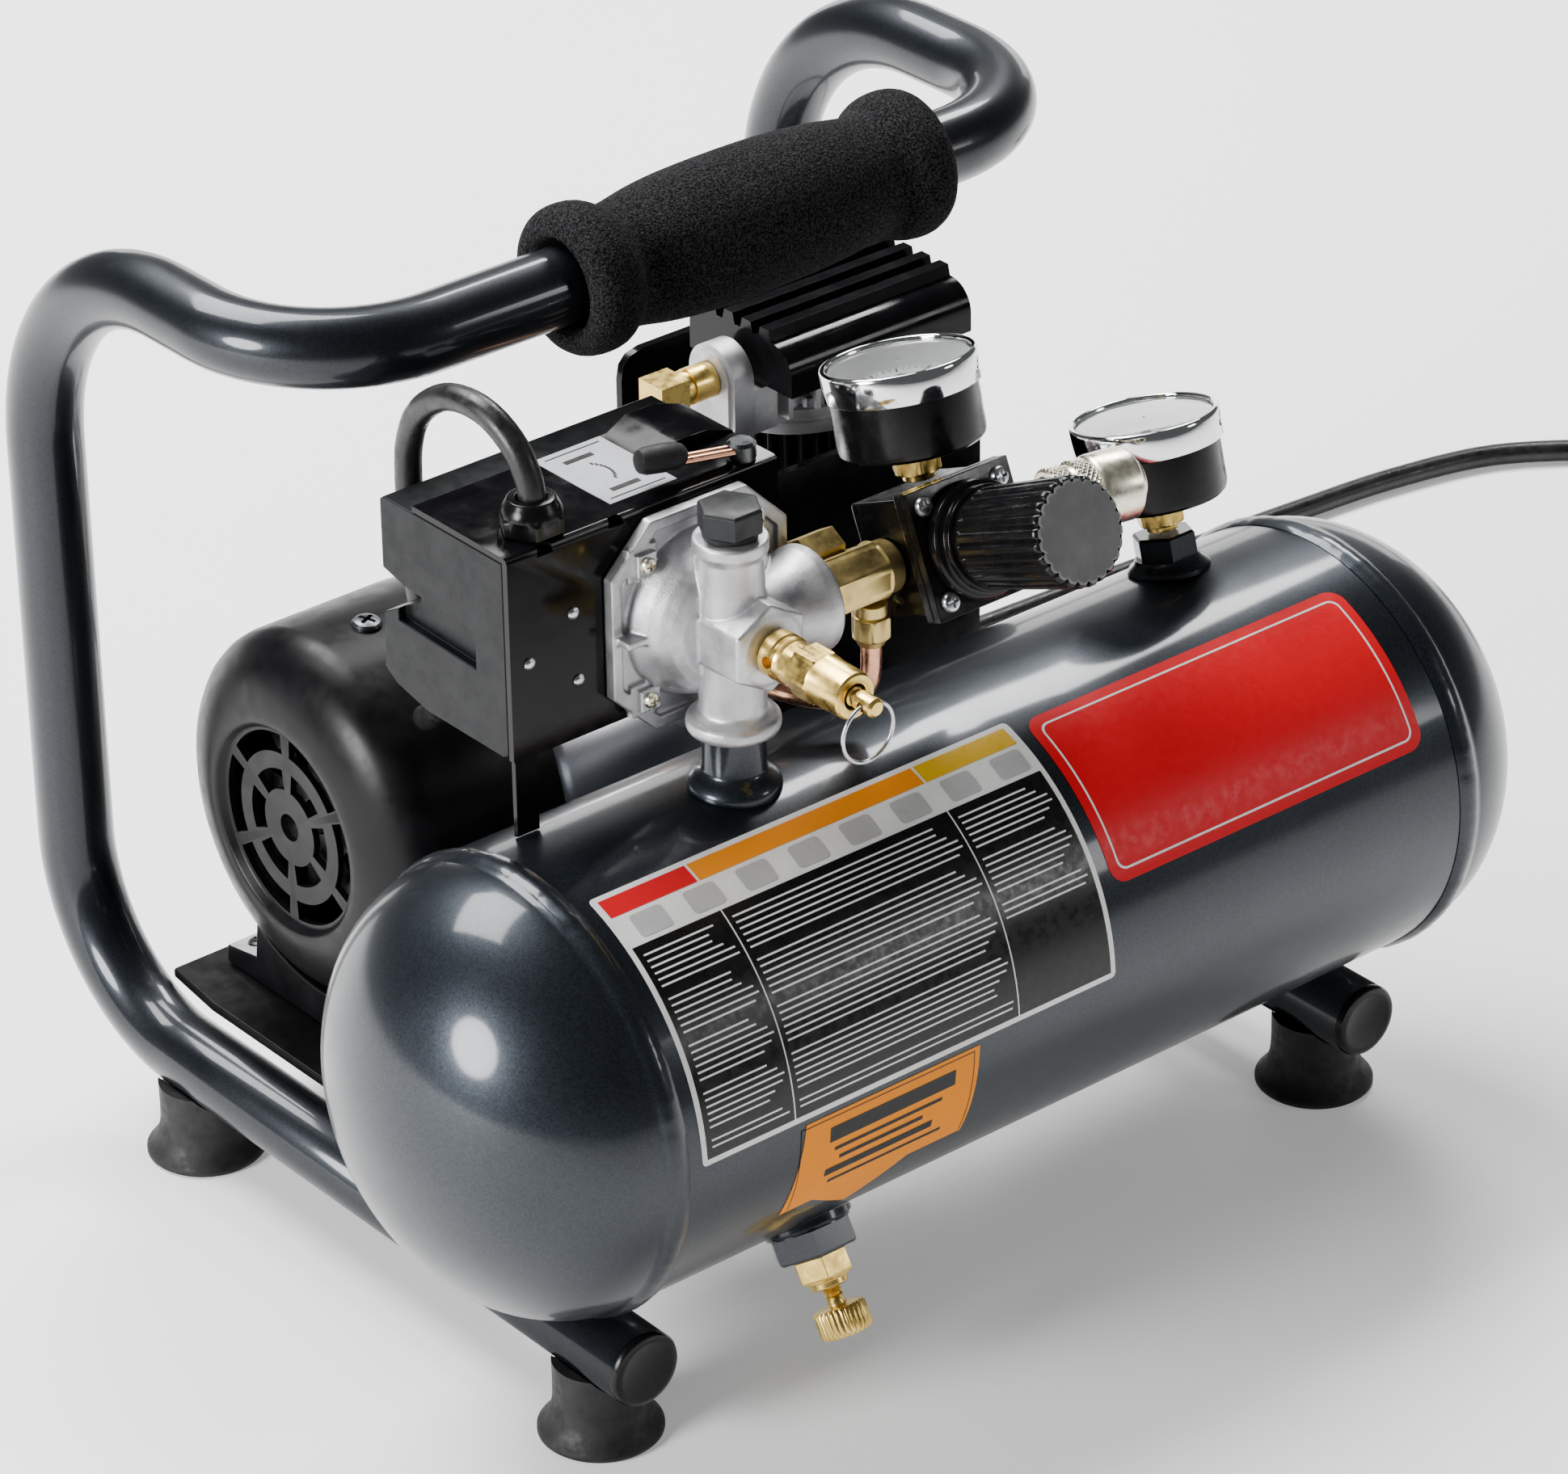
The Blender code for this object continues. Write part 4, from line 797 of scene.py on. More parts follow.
def carrying_frame():
    dress(tube("frame_tube_skin", frame_path(), TUBE_R, 14, TUBE_WALL), FRAME_PAINT, "frame_tube")
    for side, name in ((-1, "left"), (1, "right")):
        end = (side * TUBE_X, TANK_Y - FRAME_FRONT - GAP, TUBE_Z)
        rings = [(-0.008, 0.0078), (0, 0.0082), (0, 0.0106), (0.0010, 0.0106), (0.0018, 0.0101),
                 (0.0022, 0.0092), (0.0022, 0.0080), (0.0019, 0.0074)]
        cap = turned("tube_cap_skin_" + name, rings, 64, end, TO_FRONT)
        dress(cap, PLASTIC, "tube_cap_" + name)
        for end_name, y in zip(("front_", "rear_"), FEET_Y):
            foot(end_name + name, side * TUBE_X, y)
        base = TUBE_Z + TUBE_R + GAP
        x = side * (TUBE_X - 0.0020)
        pad = shape("saddle_skin_" + name, box_bm((x - 0.0065, TANK_Y - 0.015, base),
                                                  (x + 0.0065, TANK_Y + 0.015, base + 0.0055)))
        dress(seat_on_tank(pad), PAINT, "saddle_" + name, edge=0.0003)


def foot(name, x, y):
    rings = [(0.0026, 0.0040), (0.0012, 0.0095), (0.0002, 0.0135), (0, 0.0145), (0, 0.0162),
             (0.0006, 0.0168), (0.0016, 0.0168), (0.0026, 0.0160), (0.0042, 0.0147), (0.0062, 0.0135),
             (0.0085, 0.0128), (0.0110, 0.0125), (0.0150, 0.0124), (0.0225, 0.0125)]
    made = turned("foot_skin_" + name, rings, 72, (x, y, 0))
    cut(made, cylinder_bm(TUBE_R + 0.0004, -0.03, 0.03), (x, y, TUBE_Z), TO_BACK)
    dress(made, RUBBER, "foot_" + name, edge=0.0004, sharp=45)


def motor_plate():
    front = TANK_Y + 0.060
    bend = TANK_Y + 0.1665
    rear = TANK_Y + 0.1886
    wide = 0.122
    narrow = 0.1194
    outline = [(-wide, front), (wide, front), (wide, bend), (narrow, rear), (-narrow, rear),
               (-wide, bend)]
    made = prism("motor_plate_skin", outline, PLATE_TOP - 0.003, PLATE_TOP, 2)
    dress(made, ENAMEL, "motor_plate", edge=0.0008)


def handle_grip():
    """Foam sleeve with a rolled collar at each end and a slightly uneven skin."""
    half = 0.0615
    side = [(half, 0.0135), (half + 0.0002, 0.0170), (half - 0.0012, 0.0194), (half - 0.0040, 0.0208),
            (half - 0.0080, 0.0210), (half - 0.0120, 0.0205), (half - 0.0148, 0.0188),
            (half - 0.0166, 0.0172), (half - 0.0200, 0.0170), (half - 0.0245, 0.0178),
            (half - 0.0310, 0.0190), (half - 0.0400, 0.0198), (half - 0.0500, 0.0202), (0.0040, 0.0203)]
    outer = [(-height, radius) for height, radius in side] + list(reversed(side))
    rings = [(-half, 0.0111), *outer, (half, 0.0111)]
    bm = turned_bm(rings, 96, closed=True)
    for vert in bm.verts:
        reach = Vector((vert.co.x, vert.co.y, 0))
        if reach.length > 0.014:
            soft = noise.noise(vert.co * 45) * 0.00035 + noise.noise(vert.co * 140) * 0.00012
            vert.co += reach.normalized() * (soft - 0.0002)
    made = shape("handle_foam", bm, (0.0145, HANDLE_Y, HANDLE_Z), TO_RIGHT)
    dress(made, FOAM, "handle_grip", sharp=70)
    smooth = made.modifiers.new("smooth", "SUBSURF")
    smooth.levels = 1
    smooth.render_levels = 1


# ---------------------------------------------------------------- motor

def sector(bm, inner, outer, middle, spread, low, high):
    steps = 12
    angles = [middle - spread / 2 + spread * i / steps for i in range(steps + 1)]
    outline = [(outer * cos(a), outer * sin(a)) for a in angles]
    outline += [(inner * cos(a), inner * sin(a)) for a in reversed(angles)]
    add_prism(bm, outline, low, high, 2)


def motor():
    length = BELL_END - MOTOR_LEFT
    rings = [(0.0025, 0.0040), (0.0025, 0.0287), (0.0020, 0.0295), (0.0005, 0.0303), (0, 0.0311),
             (0, 0.0330), (0.0004, 0.0356), (0.0016, 0.0400), (0.0034, 0.0444), (0.0060, 0.0484),
             (0.0092, 0.0514), (0.0125, 0.0530), (0.0155, MOTOR_R), (length - 0.0005, MOTOR_R),
             (length, MOTOR_R - 0.0005), (length, MOTOR_R - 0.002), (0.0150, MOTOR_R - 0.002),
             (0.0080, 0.0465), (0.0045, 0.0380), (0.0045, 0.0040)]
    place = (MOTOR_LEFT, MOTOR_Y, MOTOR_Z)
    shell = turned("motor_shell_skin", rings, 144, place, TO_RIGHT, closed=True)
    vents = bmesh.new()
    for index in range(6):
        middle = 2 * pi * (index + 0.5) / 6
        sector(vents, 0.0222, 0.0281, middle, radians(52), -0.002, 0.008)
        sector(vents, 0.0112, 0.0172, middle, radians(46), -0.002, 0.008)
    cut(shell, vents, place, TO_RIGHT)
    dress(shell, ENAMEL, "motor_shell", sharp=40)
    start = BELL_END + GAP
    core = [(-0.075, 0.0280), (-0.075, CORE_R), (start, CORE_R), (start, MOTOR_R - 0.0010),
            (start + 0.0010, MOTOR_R - 0.0003), (start + 0.0030, MOTOR_R),
            (MOTOR_RIGHT - 0.0010, MOTOR_R), (MOTOR_RIGHT, MOTOR_R - 0.0006),
            (MOTOR_RIGHT, CORE_R), (-0.025, CORE_R), (-0.025, 0.0280)]
    # The stator is real, but its bright steel colour is a painted highlight in place of a glare.
    lathe("motor_stator", STEEL_AS_PAINTED_GLARE, core, 144, (0, MOTOR_Y, MOTOR_Z), TO_RIGHT, closed=True)
    screw("motor_top_screw", (-0.085, MOTOR_Y - 0.002, MOTOR_Z + MOTOR_R - 0.0003), Euler((0.08, 0, 0.4)),
          0.0042, DARK_STEEL, height=0.0022)
    base = PLATE_TOP + GAP
    lug = 0.044
    shoulder = 0.030
    outline = [(-lug, base), (lug, base), (lug, base + 0.0055), (shoulder, base + 0.0080),
               (0.026, 0.0860), (-0.026, 0.0860), (-shoulder, base + 0.0080), (-lug, base + 0.0055)]
    cradle = prism("motor_foot_skin", outline, -0.106, -0.092, 0, (0, MOTOR_Y, 0))
    cut(cradle, cylinder_bm(MOTOR_R + 0.0005, -0.12, -0.06, 144), (0, MOTOR_Y, MOTOR_Z), TO_RIGHT)
    # The cradle under the motor is black as painted shade; only the lugs keep cast metal.
    dress(cradle, ENAMEL, "motor_foot", edge=0.0007)
    cradle.data.materials.append(CAST)
    for face in cradle.data.polygons:
        if face.center.z < base + 0.0072 and abs(face.center.y) > shoulder:
            face.material_index = 1
    for side in (-1, 1):
        screw(f"motor_foot_screw_{side + 1}", (-0.099, MOTOR_Y + side * 0.0375, base + 0.0060),
              Euler((-side * 0.15, 0, 0.3)), 0.0036, DARK_STEEL)


# ---------------------------------------------------------------- pump

def pump():
    base = PLATE_TOP + GAP
    y = MOTOR_Y
    fins = wave_section(24, 0.10, 1.6)
    low = DECK_Z + GAP
    high = HEAD_Z - GAP
    place = (PUMP_X, y, 0)
    rings = [(low, 0.0135), (low, 0.0186, fins), (high, 0.0186, fins), (high, 0.0135)]
    lathe("cylinder_barrel", GLOSS, rings, 240, place, closed=True, sharp=50)
    rim = 0.0250
    groove = 0.0242
    crown = COVER_Z - 0.0015
    rings = [(0, rim - 0.0006), (0.0006, rim), (0.0036, rim), (0.0041, groove), (0.0049, groove),
             (0.0054, rim), (0.0078, rim), (0.0085, groove)]
    head = turned("cylinder_head_skin", [(HEAD_Z + z, r) for z, r in rings], 120, place)
    chest = box_bm((-0.0300, -0.0190, HEAD_Z + 0.0060), (0.0300, 0.0040, crown))
    bmesh.ops.bevel(chest, geom=[edge for edge in chest.edges
                                 if abs(edge.verts[0].co.z - edge.verts[1].co.z) > 0.01],
                    offset=0.008, segments=6, profile=0.5, affect="EDGES")
    join(head, chest, place)
    join(head, box_bm((-0.0250, -0.0185, HEAD_Z + 0.0062), (0.0250, 0.0035, COVER_Z + COVER_HOLLOW - GAP)),
         place)
    join(head, box_bm((-0.0400, -0.0225, HEAD_Z + 0.0070), (-0.0240, -0.0075, crown - 0.0002)), place)
    radius = 0.0098
    foot = HEAD_Z + 0.0060 - BOSS_Z
    hip = foot + 0.0060
    for low_x, high_x, inset in ((-0.0410, -0.0340, 0.0), (-BOSS_REACH, -0.0400, 0.0016)):
        reach = radius - inset
        boss = bmesh.new()
        arch = [(reach * cos(a), reach * sin(a)) for a in (radians(9 * i) for i in range(21))]
        add_prism(boss, [(0.7 * reach, foot + inset), (reach, hip), *arch, (-reach, hip),
                         (-0.7 * reach, foot + inset)], low_x, high_x, 0)
        join(head, boss, (PUMP_X, BOSS_Y, BOSS_Z))
    for step in range(5):
        join(head, box_bm((-0.0200 + 0.0100 * step - 0.0008, -0.0235, HEAD_Z + 0.0080),
                          (-0.0200 + 0.0100 * step + 0.0008, -0.0150, crown - 0.0020)), place)
    dress(head, CAST, "cylinder_head", edge=0.0005, sharp=40)
    for index, angle in enumerate((-2.05, -1.09, 0.55, 2.3)):
        spot = (PUMP_X + 0.0218 * cos(angle), y + 0.0218 * sin(angle), HEAD_Z + 0.0083)
        bolt = turned(f"head_bolt_{index}", [(0, 0.0031), (0.0028, 0.0031), (0.0032, 0.0027)], 48, spot)
        cut(bolt, turned_bm([(0.0010, 0.0017, HEX), (0.0050, 0.0017, HEX)], 48), spot)
        dress(bolt, STEEL, body="frame")
    cover()
    shroud(base)
    elbow()


def cover():
    """Ribbed cover with round shoulders along the head."""
    front, rear = -0.036, 0.008
    low = COVER_Z
    top = 0.2160
    front_bend, rear_bend = 0.0085, 0.0060
    turns = [radians(10 * i) for i in range(10)]
    outline = [(front, low)]
    outline += [(front + front_bend * (1 - cos(a)), top - front_bend * (1 - sin(a))) for a in turns]
    for rib in (-0.0245, -0.0168, -0.0091, -0.0014):
        outline += [(rib - 0.0026, top), (rib - 0.0018, COVER_CROWN), (rib + 0.0018, COVER_CROWN),
                    (rib + 0.0026, top)]
    outline += [(rear - rear_bend * (1 - cos(a)), top - rear_bend * (1 - sin(a)))
                for a in reversed(turns)]
    outline += [(rear, low)]
    made = prism("head_cover_skin", outline, 0.036, 0.101, 0, (0, MOTOR_Y, 0))
    hollow = box_bm((0.0385, front + 0.0025, low - 0.002), (0.0985, rear - 0.0025, low + COVER_HOLLOW))
    cut(made, hollow, (0, MOTOR_Y, 0))
    slots = bmesh.new()
    for gap in (-0.02065, -0.01295, -0.00525):
        add_box(slots, (0.060, gap - 0.0013, top - 0.0040), (0.095, gap + 0.0013, top + 0.0020))
    cut(made, slots, (0, MOTOR_Y, 0))
    dress(made, GLOSS, "head_cover", edge=0.0005, sharp=25)


def shroud(base):
    front = MOTOR_Y - 0.0355
    rear = MOTOR_Y + 0.0380
    wall = 0.0025
    outline = [(0.018, base), (0.105, base), (0.105, 0.170), (0.1035, 0.1755), (0.0995, 0.1790),
               (0.094, 0.180), (0.018, 0.180)]
    made = prism("pump_shroud_skin", outline, front, front + wall, 1)
    rear_outline = [(0.033, base), (0.105, base), (0.105, 0.180), (0.1038, 0.1852), (0.1002, 0.1888),
                    (0.094, 0.190), (0.041, 0.190), (0.0362, 0.1888), (0.0338, 0.1862), (0.033, 0.182)]
    panel = bmesh.new()
    add_prism(panel, rear_outline, rear - wall, rear, 1)
    join(made, panel)
    join(made, box_bm((0.1025, front + 0.001, base), (0.105, rear - 0.001, 0.168)))
    slots = bmesh.new()
    for row in range(6):
        height = MOTOR_Z - 0.030 + row * 0.012
        add_box(slots, (0.100, MOTOR_Y - 0.024, height - 0.0025),
                (0.108, MOTOR_Y + 0.024, height + 0.0025))
    cut(made, slots)
    dress(made, GLOSS, "pump_shroud", edge=0.0006, sharp=40)


def elbow():
    y = BOSS_Y
    z = BOSS_Z
    end = PUMP_X - BOSS_REACH - GAP
    rings = [(0.0095, 0.0046), (0.0120, 0.0046), (0.0135, 0.0050), (0.0150, 0.0050), (0.0152, 0.0045),
             (0.0160, 0.0045), (0.0162, 0.0052), (end, 0.0052)]
    made = turned("head_elbow_skin", rings, 72, (0, y, z), TO_RIGHT)
    join(made, box_bm((0.0036, y - 0.0050, z - 0.0115), (0.0134, y + 0.0050, z + 0.0049)))
    join(made, turned_bm([(z - 0.0140, 0.0048), (z - 0.0110, 0.0048)], 48), (0.0086, y, 0))
    dress(made, BRASS, "head_elbow", edge=0.0007, sharp=40)
    route = [(0.0086, y, z - 0.0143), (0.0080, y - 0.001, 0.180), (0.004, y - 0.010, 0.170),
             (-0.006, y - 0.028, 0.165), (-0.020, TANK_Y + 0.072, 0.166),
             (-0.034, TANK_Y + 0.048, 0.171), (-0.041, TANK_Y + 0.032, 0.1740),
             (-0.041, TANK_Y + 0.018, 0.1752), (-0.036, TANK_Y + 0.007, 0.1748),
             (-0.029, TANK_Y + 0.002, 0.1742), (-0.0240, TANK_Y, 0.1765),
             (-0.0222, TANK_Y, 0.1808), (-0.0220, TANK_Y, 0.1885)]
    dress(tube("delivery_tube_skin", smooth_route(route, 0.0025), 0.0028, 8), COPPER, "delivery_tube")


# ---------------------------------------------------------------- pressure switch

def pressure_switch():
    low, high = SWITCH_Z
    left, right = SWITCH_X
    front = PLATE_Y + 0.0023
    back = TANK_Y + 0.0700
    outline = [(front, low + 0.001), (front, high - GAP), (back - 0.0015, high - GAP),
               (back, high - 0.0015), (back, 0.2190), (TANK_Y + 0.0576, 0.2160),
               (TANK_Y + 0.0576, 0.2130), (back, 0.2062), (back + 0.0008, 0.1900),
               (back - 0.004, 0.1868), (TANK_Y + 0.0534, low), (front + 0.002, low)]
    housing = prism("switch_housing_skin", outline, left, right, 0)
    cut(housing, box_bm((left + 0.003, front - 0.005, low + 0.004),
                        (right - 0.003, TANK_Y + 0.052, high - 0.004)))
    recess = bmesh.new()
    add_prism(recess, [(TANK_Y + 0.0318, 0.2050), (TANK_Y + 0.0318, 0.2155), (TANK_Y + 0.0640, 0.2170),
                       (TANK_Y + 0.0640, 0.2060)], left - 0.001, left + 0.0025, 0)
    cut(housing, recess)
    dress(housing, HOUSING, "switch_housing", edge=0.0012, sharp=25, segments=4)
    outline = [(PLATE_Y, low), (PLATE_Y + 0.0020, low), (PLATE_Y + 0.0020, high),
               (PLATE_Y + 0.0390, high), (PLATE_Y + 0.0390, high + 0.0016),
               (PLATE_Y + 0.0016, high + 0.0016), (PLATE_Y + 0.0005, high + 0.0012),
               (PLATE_Y, high + 0.0002)]
    plate = prism("switch_plate_skin", outline, left, right, 0)
    hood = bmesh.new()
    top = high + 0.0050
    add_prism(hood, [(-0.0640, high + 0.001), (right, high + 0.001), (right, high + 0.0020),
                     (right - 0.0090, top), (-0.0570, top)], PLATE_Y + 0.0180, PLATE_Y + 0.0385, 1)
    join(plate, hood)
    join(plate, box_bm((left + 0.0005, PLATE_Y + 0.0002, 0.158),
                       (left + 0.0075, PLATE_Y + 0.0018, low + 0.002)))
    seat_on_tank(plate)
    notches = bmesh.new()
    for x in (-0.1130, -0.0905):
        bmesh.ops.create_cone(notches, cap_ends=True, segments=24, radius1=0.0026, radius2=0.0016,
                              depth=0.004, matrix=Matrix.Translation((x, PLATE_Y + 0.0002, high + 0.0012)))
    cut(plate, notches)
    dress(plate, GLOSS, "switch_plate", edge=0.0005, sharp=40)
    for index, (x, z) in enumerate(((-0.1192, 0.2105), (-0.1050, 0.2199), (-0.1039, 0.2004))):
        rivet = turned(f"switch_rivet_{index}", [(0, 0.0017), (0.0004, 0.0017), (0.0008, 0.0013),
                                                 (0.0010, 0.0006)], 32, (x, PLATE_Y, z), TO_FRONT)
        dress(rivet, STEEL, body="frame")
    label_plate()
    lever()
    gland()


def label_plate():
    """Silver film on top of the switch, with blank blocks in place of its marks."""
    z = SWITCH_Z[1] + 0.0018
    low_x, high_x = -0.0870, -0.0655
    low_y, high_y = TANK_Y + 0.0240, TANK_Y + 0.0555
    film = shape("switch_label", box_bm((low_x, low_y, z - 0.0002), (high_x, high_y, z)))
    dress(film, LABEL_SILVER, body="frame")
    marks = bmesh.new()
    add_box(marks, (low_x + 0.002, low_y + 0.0020, z), (high_x - 0.002, low_y + 0.0024, z + 0.0001))
    add_box(marks, (low_x + 0.002, high_y - 0.0024, z), (high_x - 0.002, high_y - 0.0020, z + 0.0001))
    add_box(marks, (low_x + 0.005, low_y + 0.0050, z), (low_x + 0.014, low_y + 0.0068, z + 0.0001))
    add_box(marks, (low_x + 0.005, high_y - 0.0074, z), (low_x + 0.014, high_y - 0.0056, z + 0.0001))
    for step in range(9):
        angle = radians(-40 + 10 * step)
        centre = Vector((low_x + 0.0045 + 0.0075 * cos(angle),
                         (low_y + high_y) / 2 + 0.0075 * sin(angle), z))
        add_box(marks, centre - Vector((0.0003, 0.0006, 0)), centre + Vector((0.0003, 0.0006, 0.0001)))
    dress(shape("switch_label_marks", marks), INK, body="frame")


def lever():
    place = (-0.046, TANK_Y + 0.0220, SWITCH_TOP + GAP)
    rings = [(0, 0.0036), (0.0006, 0.0038), (0.0042, 0.0038), (0.0050, 0.0030)]
    hub = turned("lever_hub", rings, 48, place)
    dress(hub, DARK_STEEL, "switch_lever")
    turn = Euler((0, radians(6), radians(-7)))
    rods = bmesh.new()
    for side in (-0.0011, 0.0011):
        matrix = Matrix.Translation((-0.0105, side, 0.0026)) @ Matrix.Rotation(pi / 2, 4, "Y")
        bmesh.ops.create_cone(rods, cap_ends=True, segments=24, radius1=0.00105, radius2=0.00105,
                              depth=0.019, matrix=matrix)
    dress(shape("lever_rods", rods, place, turn), COPPER, body="lever")
    tip = turned("lever_tip", [(-0.0310, 0.0020), (-0.0306, 0.0030), (-0.0290, 0.0036), (-0.0240, 0.0038),
                               (-0.0200, 0.0036), (-0.0180, 0.0028), (-0.0172, 0.0020)], 48,
                 Vector(place) + Vector((0, 0, 0.0042)), Euler((0, radians(96), radians(-7))))
    dress(tip, RUBBER, body="lever")


def gland():
    rings = [(0, 0.0082, HEX), (0.0004, 0.0088, HEX), (0.0042, 0.0088, HEX), (0.0048, 0.0080),
             (0.0062, 0.0078), (0.0076, 0.0070), (0.0090, 0.0062), (0.0092, 0.0056), (0.0092, 0.0040),
             (0, 0.0040)]
    made = turned("lead_gland_skin", rings, 96, (-0.110, TANK_Y + 0.0262, SWITCH_TOP + GAP),
                  closed=True)
    dress(made, PLASTIC, "lead_gland", edge=0.0003)
    bottom = SWITCH_TOP + 2 * GAP
    route = [(-0.110, 0.0262, bottom), (-0.1100, 0.0262, 0.2530), (-0.1106, 0.0312, 0.2628),
             (-0.1116, 0.0420, 0.2690), (-0.1120, 0.0560, 0.2680), (-0.1120, 0.0680, 0.2600),
             (-0.1115, 0.0745, 0.2490), (-0.1110, 0.0765, 0.2360), (-0.1100, 0.0770, 0.2200),
             (-0.1080, 0.0775, 0.2000), (-0.1040, 0.0790, 0.1800), (-0.0980, 0.0850, 0.1650),
             (-0.0940, 0.0930, 0.1555), (-0.0920, 0.1002, 0.1502)]
    points = [(x, TANK_Y + y, z) for x, y, z in route]
    dress(tube("motor_lead_skin", smooth_route(points, 0.003), CORD_R, 8), CABLE, "motor_lead")


# ---------------------------------------------------------------- manifold

def fused(made):
    """Melts the joined shapes into one casting with small fillets."""
    skin = made.modifiers.new("skin", "REMESH")
    skin.mode = "VOXEL"
    skin.voxel_size = 0.0004
    skin.use_smooth_shade = True
    fillets = made.modifiers.new("fillets", "SMOOTH")
    fillets.factor = 0.5
    fillets.iterations = 3


def manifold():
    x = MANIFOLD_X + 0.001
    half = 0.0285
    tall = 0.0298
    clip = 0.013
    outline = [(-half, -tall + clip), (-half + clip, -tall), (half - clip, -tall), (half, -tall + clip),
               (half, tall - clip), (half - clip, tall), (-half + clip, tall), (-half, tall - clip)]
    back = PLATE_Y - GAP
    made = prism("manifold_skin", outline, back - 0.0036, back, 1, (x, 0, PORT_Z))
    field = [(sx * 0.89, sz * 0.89) for sx, sz in outline]
    pocket = bmesh.new()
    add_prism(pocket, field, back - 0.0050, back - 0.0020, 1)
    cut(made, pocket, (x, 0, PORT_Z))
    for sx in (-0.0185, 0.0165):
        for sz in (-0.0195, 0.0191):
            join(made, box_bm((sx - 0.0046, back - 0.0036, sz - 0.0046),
                              (sx + 0.0046, back - 0.001, sz + 0.0046)), (x, 0, PORT_Z))
    join(made, turned_bm([(-0.0155, 0.0235), (-0.0125, 0.0230), (-0.0090, 0.0216), (-0.0060, 0.0197),
                          (-0.0036, 0.0176), (-0.0020, 0.0150)], 96), (x, TANK_Y, PORT_Z), TO_FRONT)
    rings = [(0.1810, 0.0110), (0.1816, 0.0120), (0.1828, 0.0124), (0.1846, 0.0122), (0.1856, 0.0112),
             (0.1862, 0.0098), (0.1872, 0.0088), (0.2305, 0.0086), (0.2316, 0.0090), (0.2328, 0.0098),
             (0.2356, 0.0098), (0.2360, 0.0094)]
    join(made, turned_bm(rings, 96), (MANIFOLD_X, TANK_Y, 0))
    join(made, turned_bm([(-0.0020, 0.0125, HEX_CORNER_UP), (0.0132, 0.0125, HEX_CORNER_UP),
                          (0.0138, 0.0120, HEX_CORNER_UP), (0.0140, 0.0100), (0.0145, 0.0090)], 96),
         VALVE_PLACE, TO_FRONT)
    join(made, turned_bm([(0.0040, 0.0095), (0.0120, 0.0105), (0.0165, 0.0120), (0.0205, 0.0138),
                          (0.0222, 0.0145), (0.0250, 0.0145), (0.0258, 0.0138)], 96),
         (MANIFOLD_X, TANK_Y, PORT_Z), TO_RIGHT)
    ribs = bmesh.new()
    add_box(ribs, (x - half + 0.001, back - 0.0085, PORT_Z - 0.0010),
            (x - 0.018, back - 0.002, PORT_Z + 0.0010))
    join(made, ribs)
    dress(made, CAST, "manifold", sharp=38)
    fused(made)
    corners = [(sx, sz) for sx in (-0.0850, -0.0500) for sz in (0.2286, 0.1900)]
    for index, (sx, sz) in enumerate(corners):
        washer = shape(f"manifold_clip_{index}", box_bm((sx - 0.0031, back - 0.0050, sz - 0.0031),
                                                        (sx + 0.0031, back - 0.0034, sz + 0.0031)))
        dress(washer, STEEL, body="frame", edge=0.0004)
        screw(f"manifold_screw_{index}", (sx, back - 0.0048, sz), TO_FRONT, 0.0022, NICKEL)


def manifold_fittings():
    rings = [(0.2363, 0.0072), (0.2375, 0.0072), (0.2377, 0.0084, HEX), (0.2382, 0.0088, HEX),
             (0.2439, 0.0088, HEX), (0.2445, 0.0083, HEX), (0.2447, 0.0078, HEX)]
    lathe("manifold_plug", GREY_PLUG, rings, 96, (MANIFOLD_X, TANK_Y, 0), edge=0.0002)
    rings = [(0.1600, 0.0124), (0.1655, 0.0124), (0.1668, 0.0118), (0.1682, 0.0102), (0.1692, 0.0088),
             (0.1702, 0.0083), (0.1807, 0.0083), (0.1807, 0.0050), (0.1600, 0.0050)]
    nipple = turned("tank_nipple_skin", rings, 96, (MANIFOLD_X, TANK_Y, 0), closed=True)
    dress(seat_on_tank(nipple), PAINT, "tank_nipple")
    start = MANIFOLD_X + 0.0258 + GAP
    end = REGULATOR_X - REGULATOR_HALF - GAP
    rings = [(start, 0.0060), (start + 0.0010, 0.0074), (start + 0.0020, 0.0084, HEX),
             (end - 0.0056, 0.0084, HEX), (end - 0.0050, 0.0080), (end - 0.0044, 0.0072),
             (end - 0.0006, 0.0072), (end, 0.0068)]
    coupling = turned("inlet_coupling_skin", rings, 96, (0, TANK_Y, PORT_Z), TO_RIGHT)
    join(coupling, turned_bm([(start + 0.0045, 0.0060, HEX), (start + 0.0160, 0.0060, HEX)], 48),
         (0, TANK_Y + 0.0105, PORT_Z + 0.0045), TO_RIGHT)
    dress(coupling, DULL_BRASS, "inlet_coupling", edge=0.0004)
    rings = [(0.1888, 0.0036), (0.1905, 0.0040), (0.1910, 0.0050), (0.1914, 0.0054, HEX),
             (0.1966, 0.0054, HEX), (0.1972, 0.0050), (0.1975, 0.0042), (0.2008, 0.0042)]
    lathe("check_fitting", DULL_BRASS, rings, 96, (-0.0220, TANK_Y, 0), edge=0.0003)


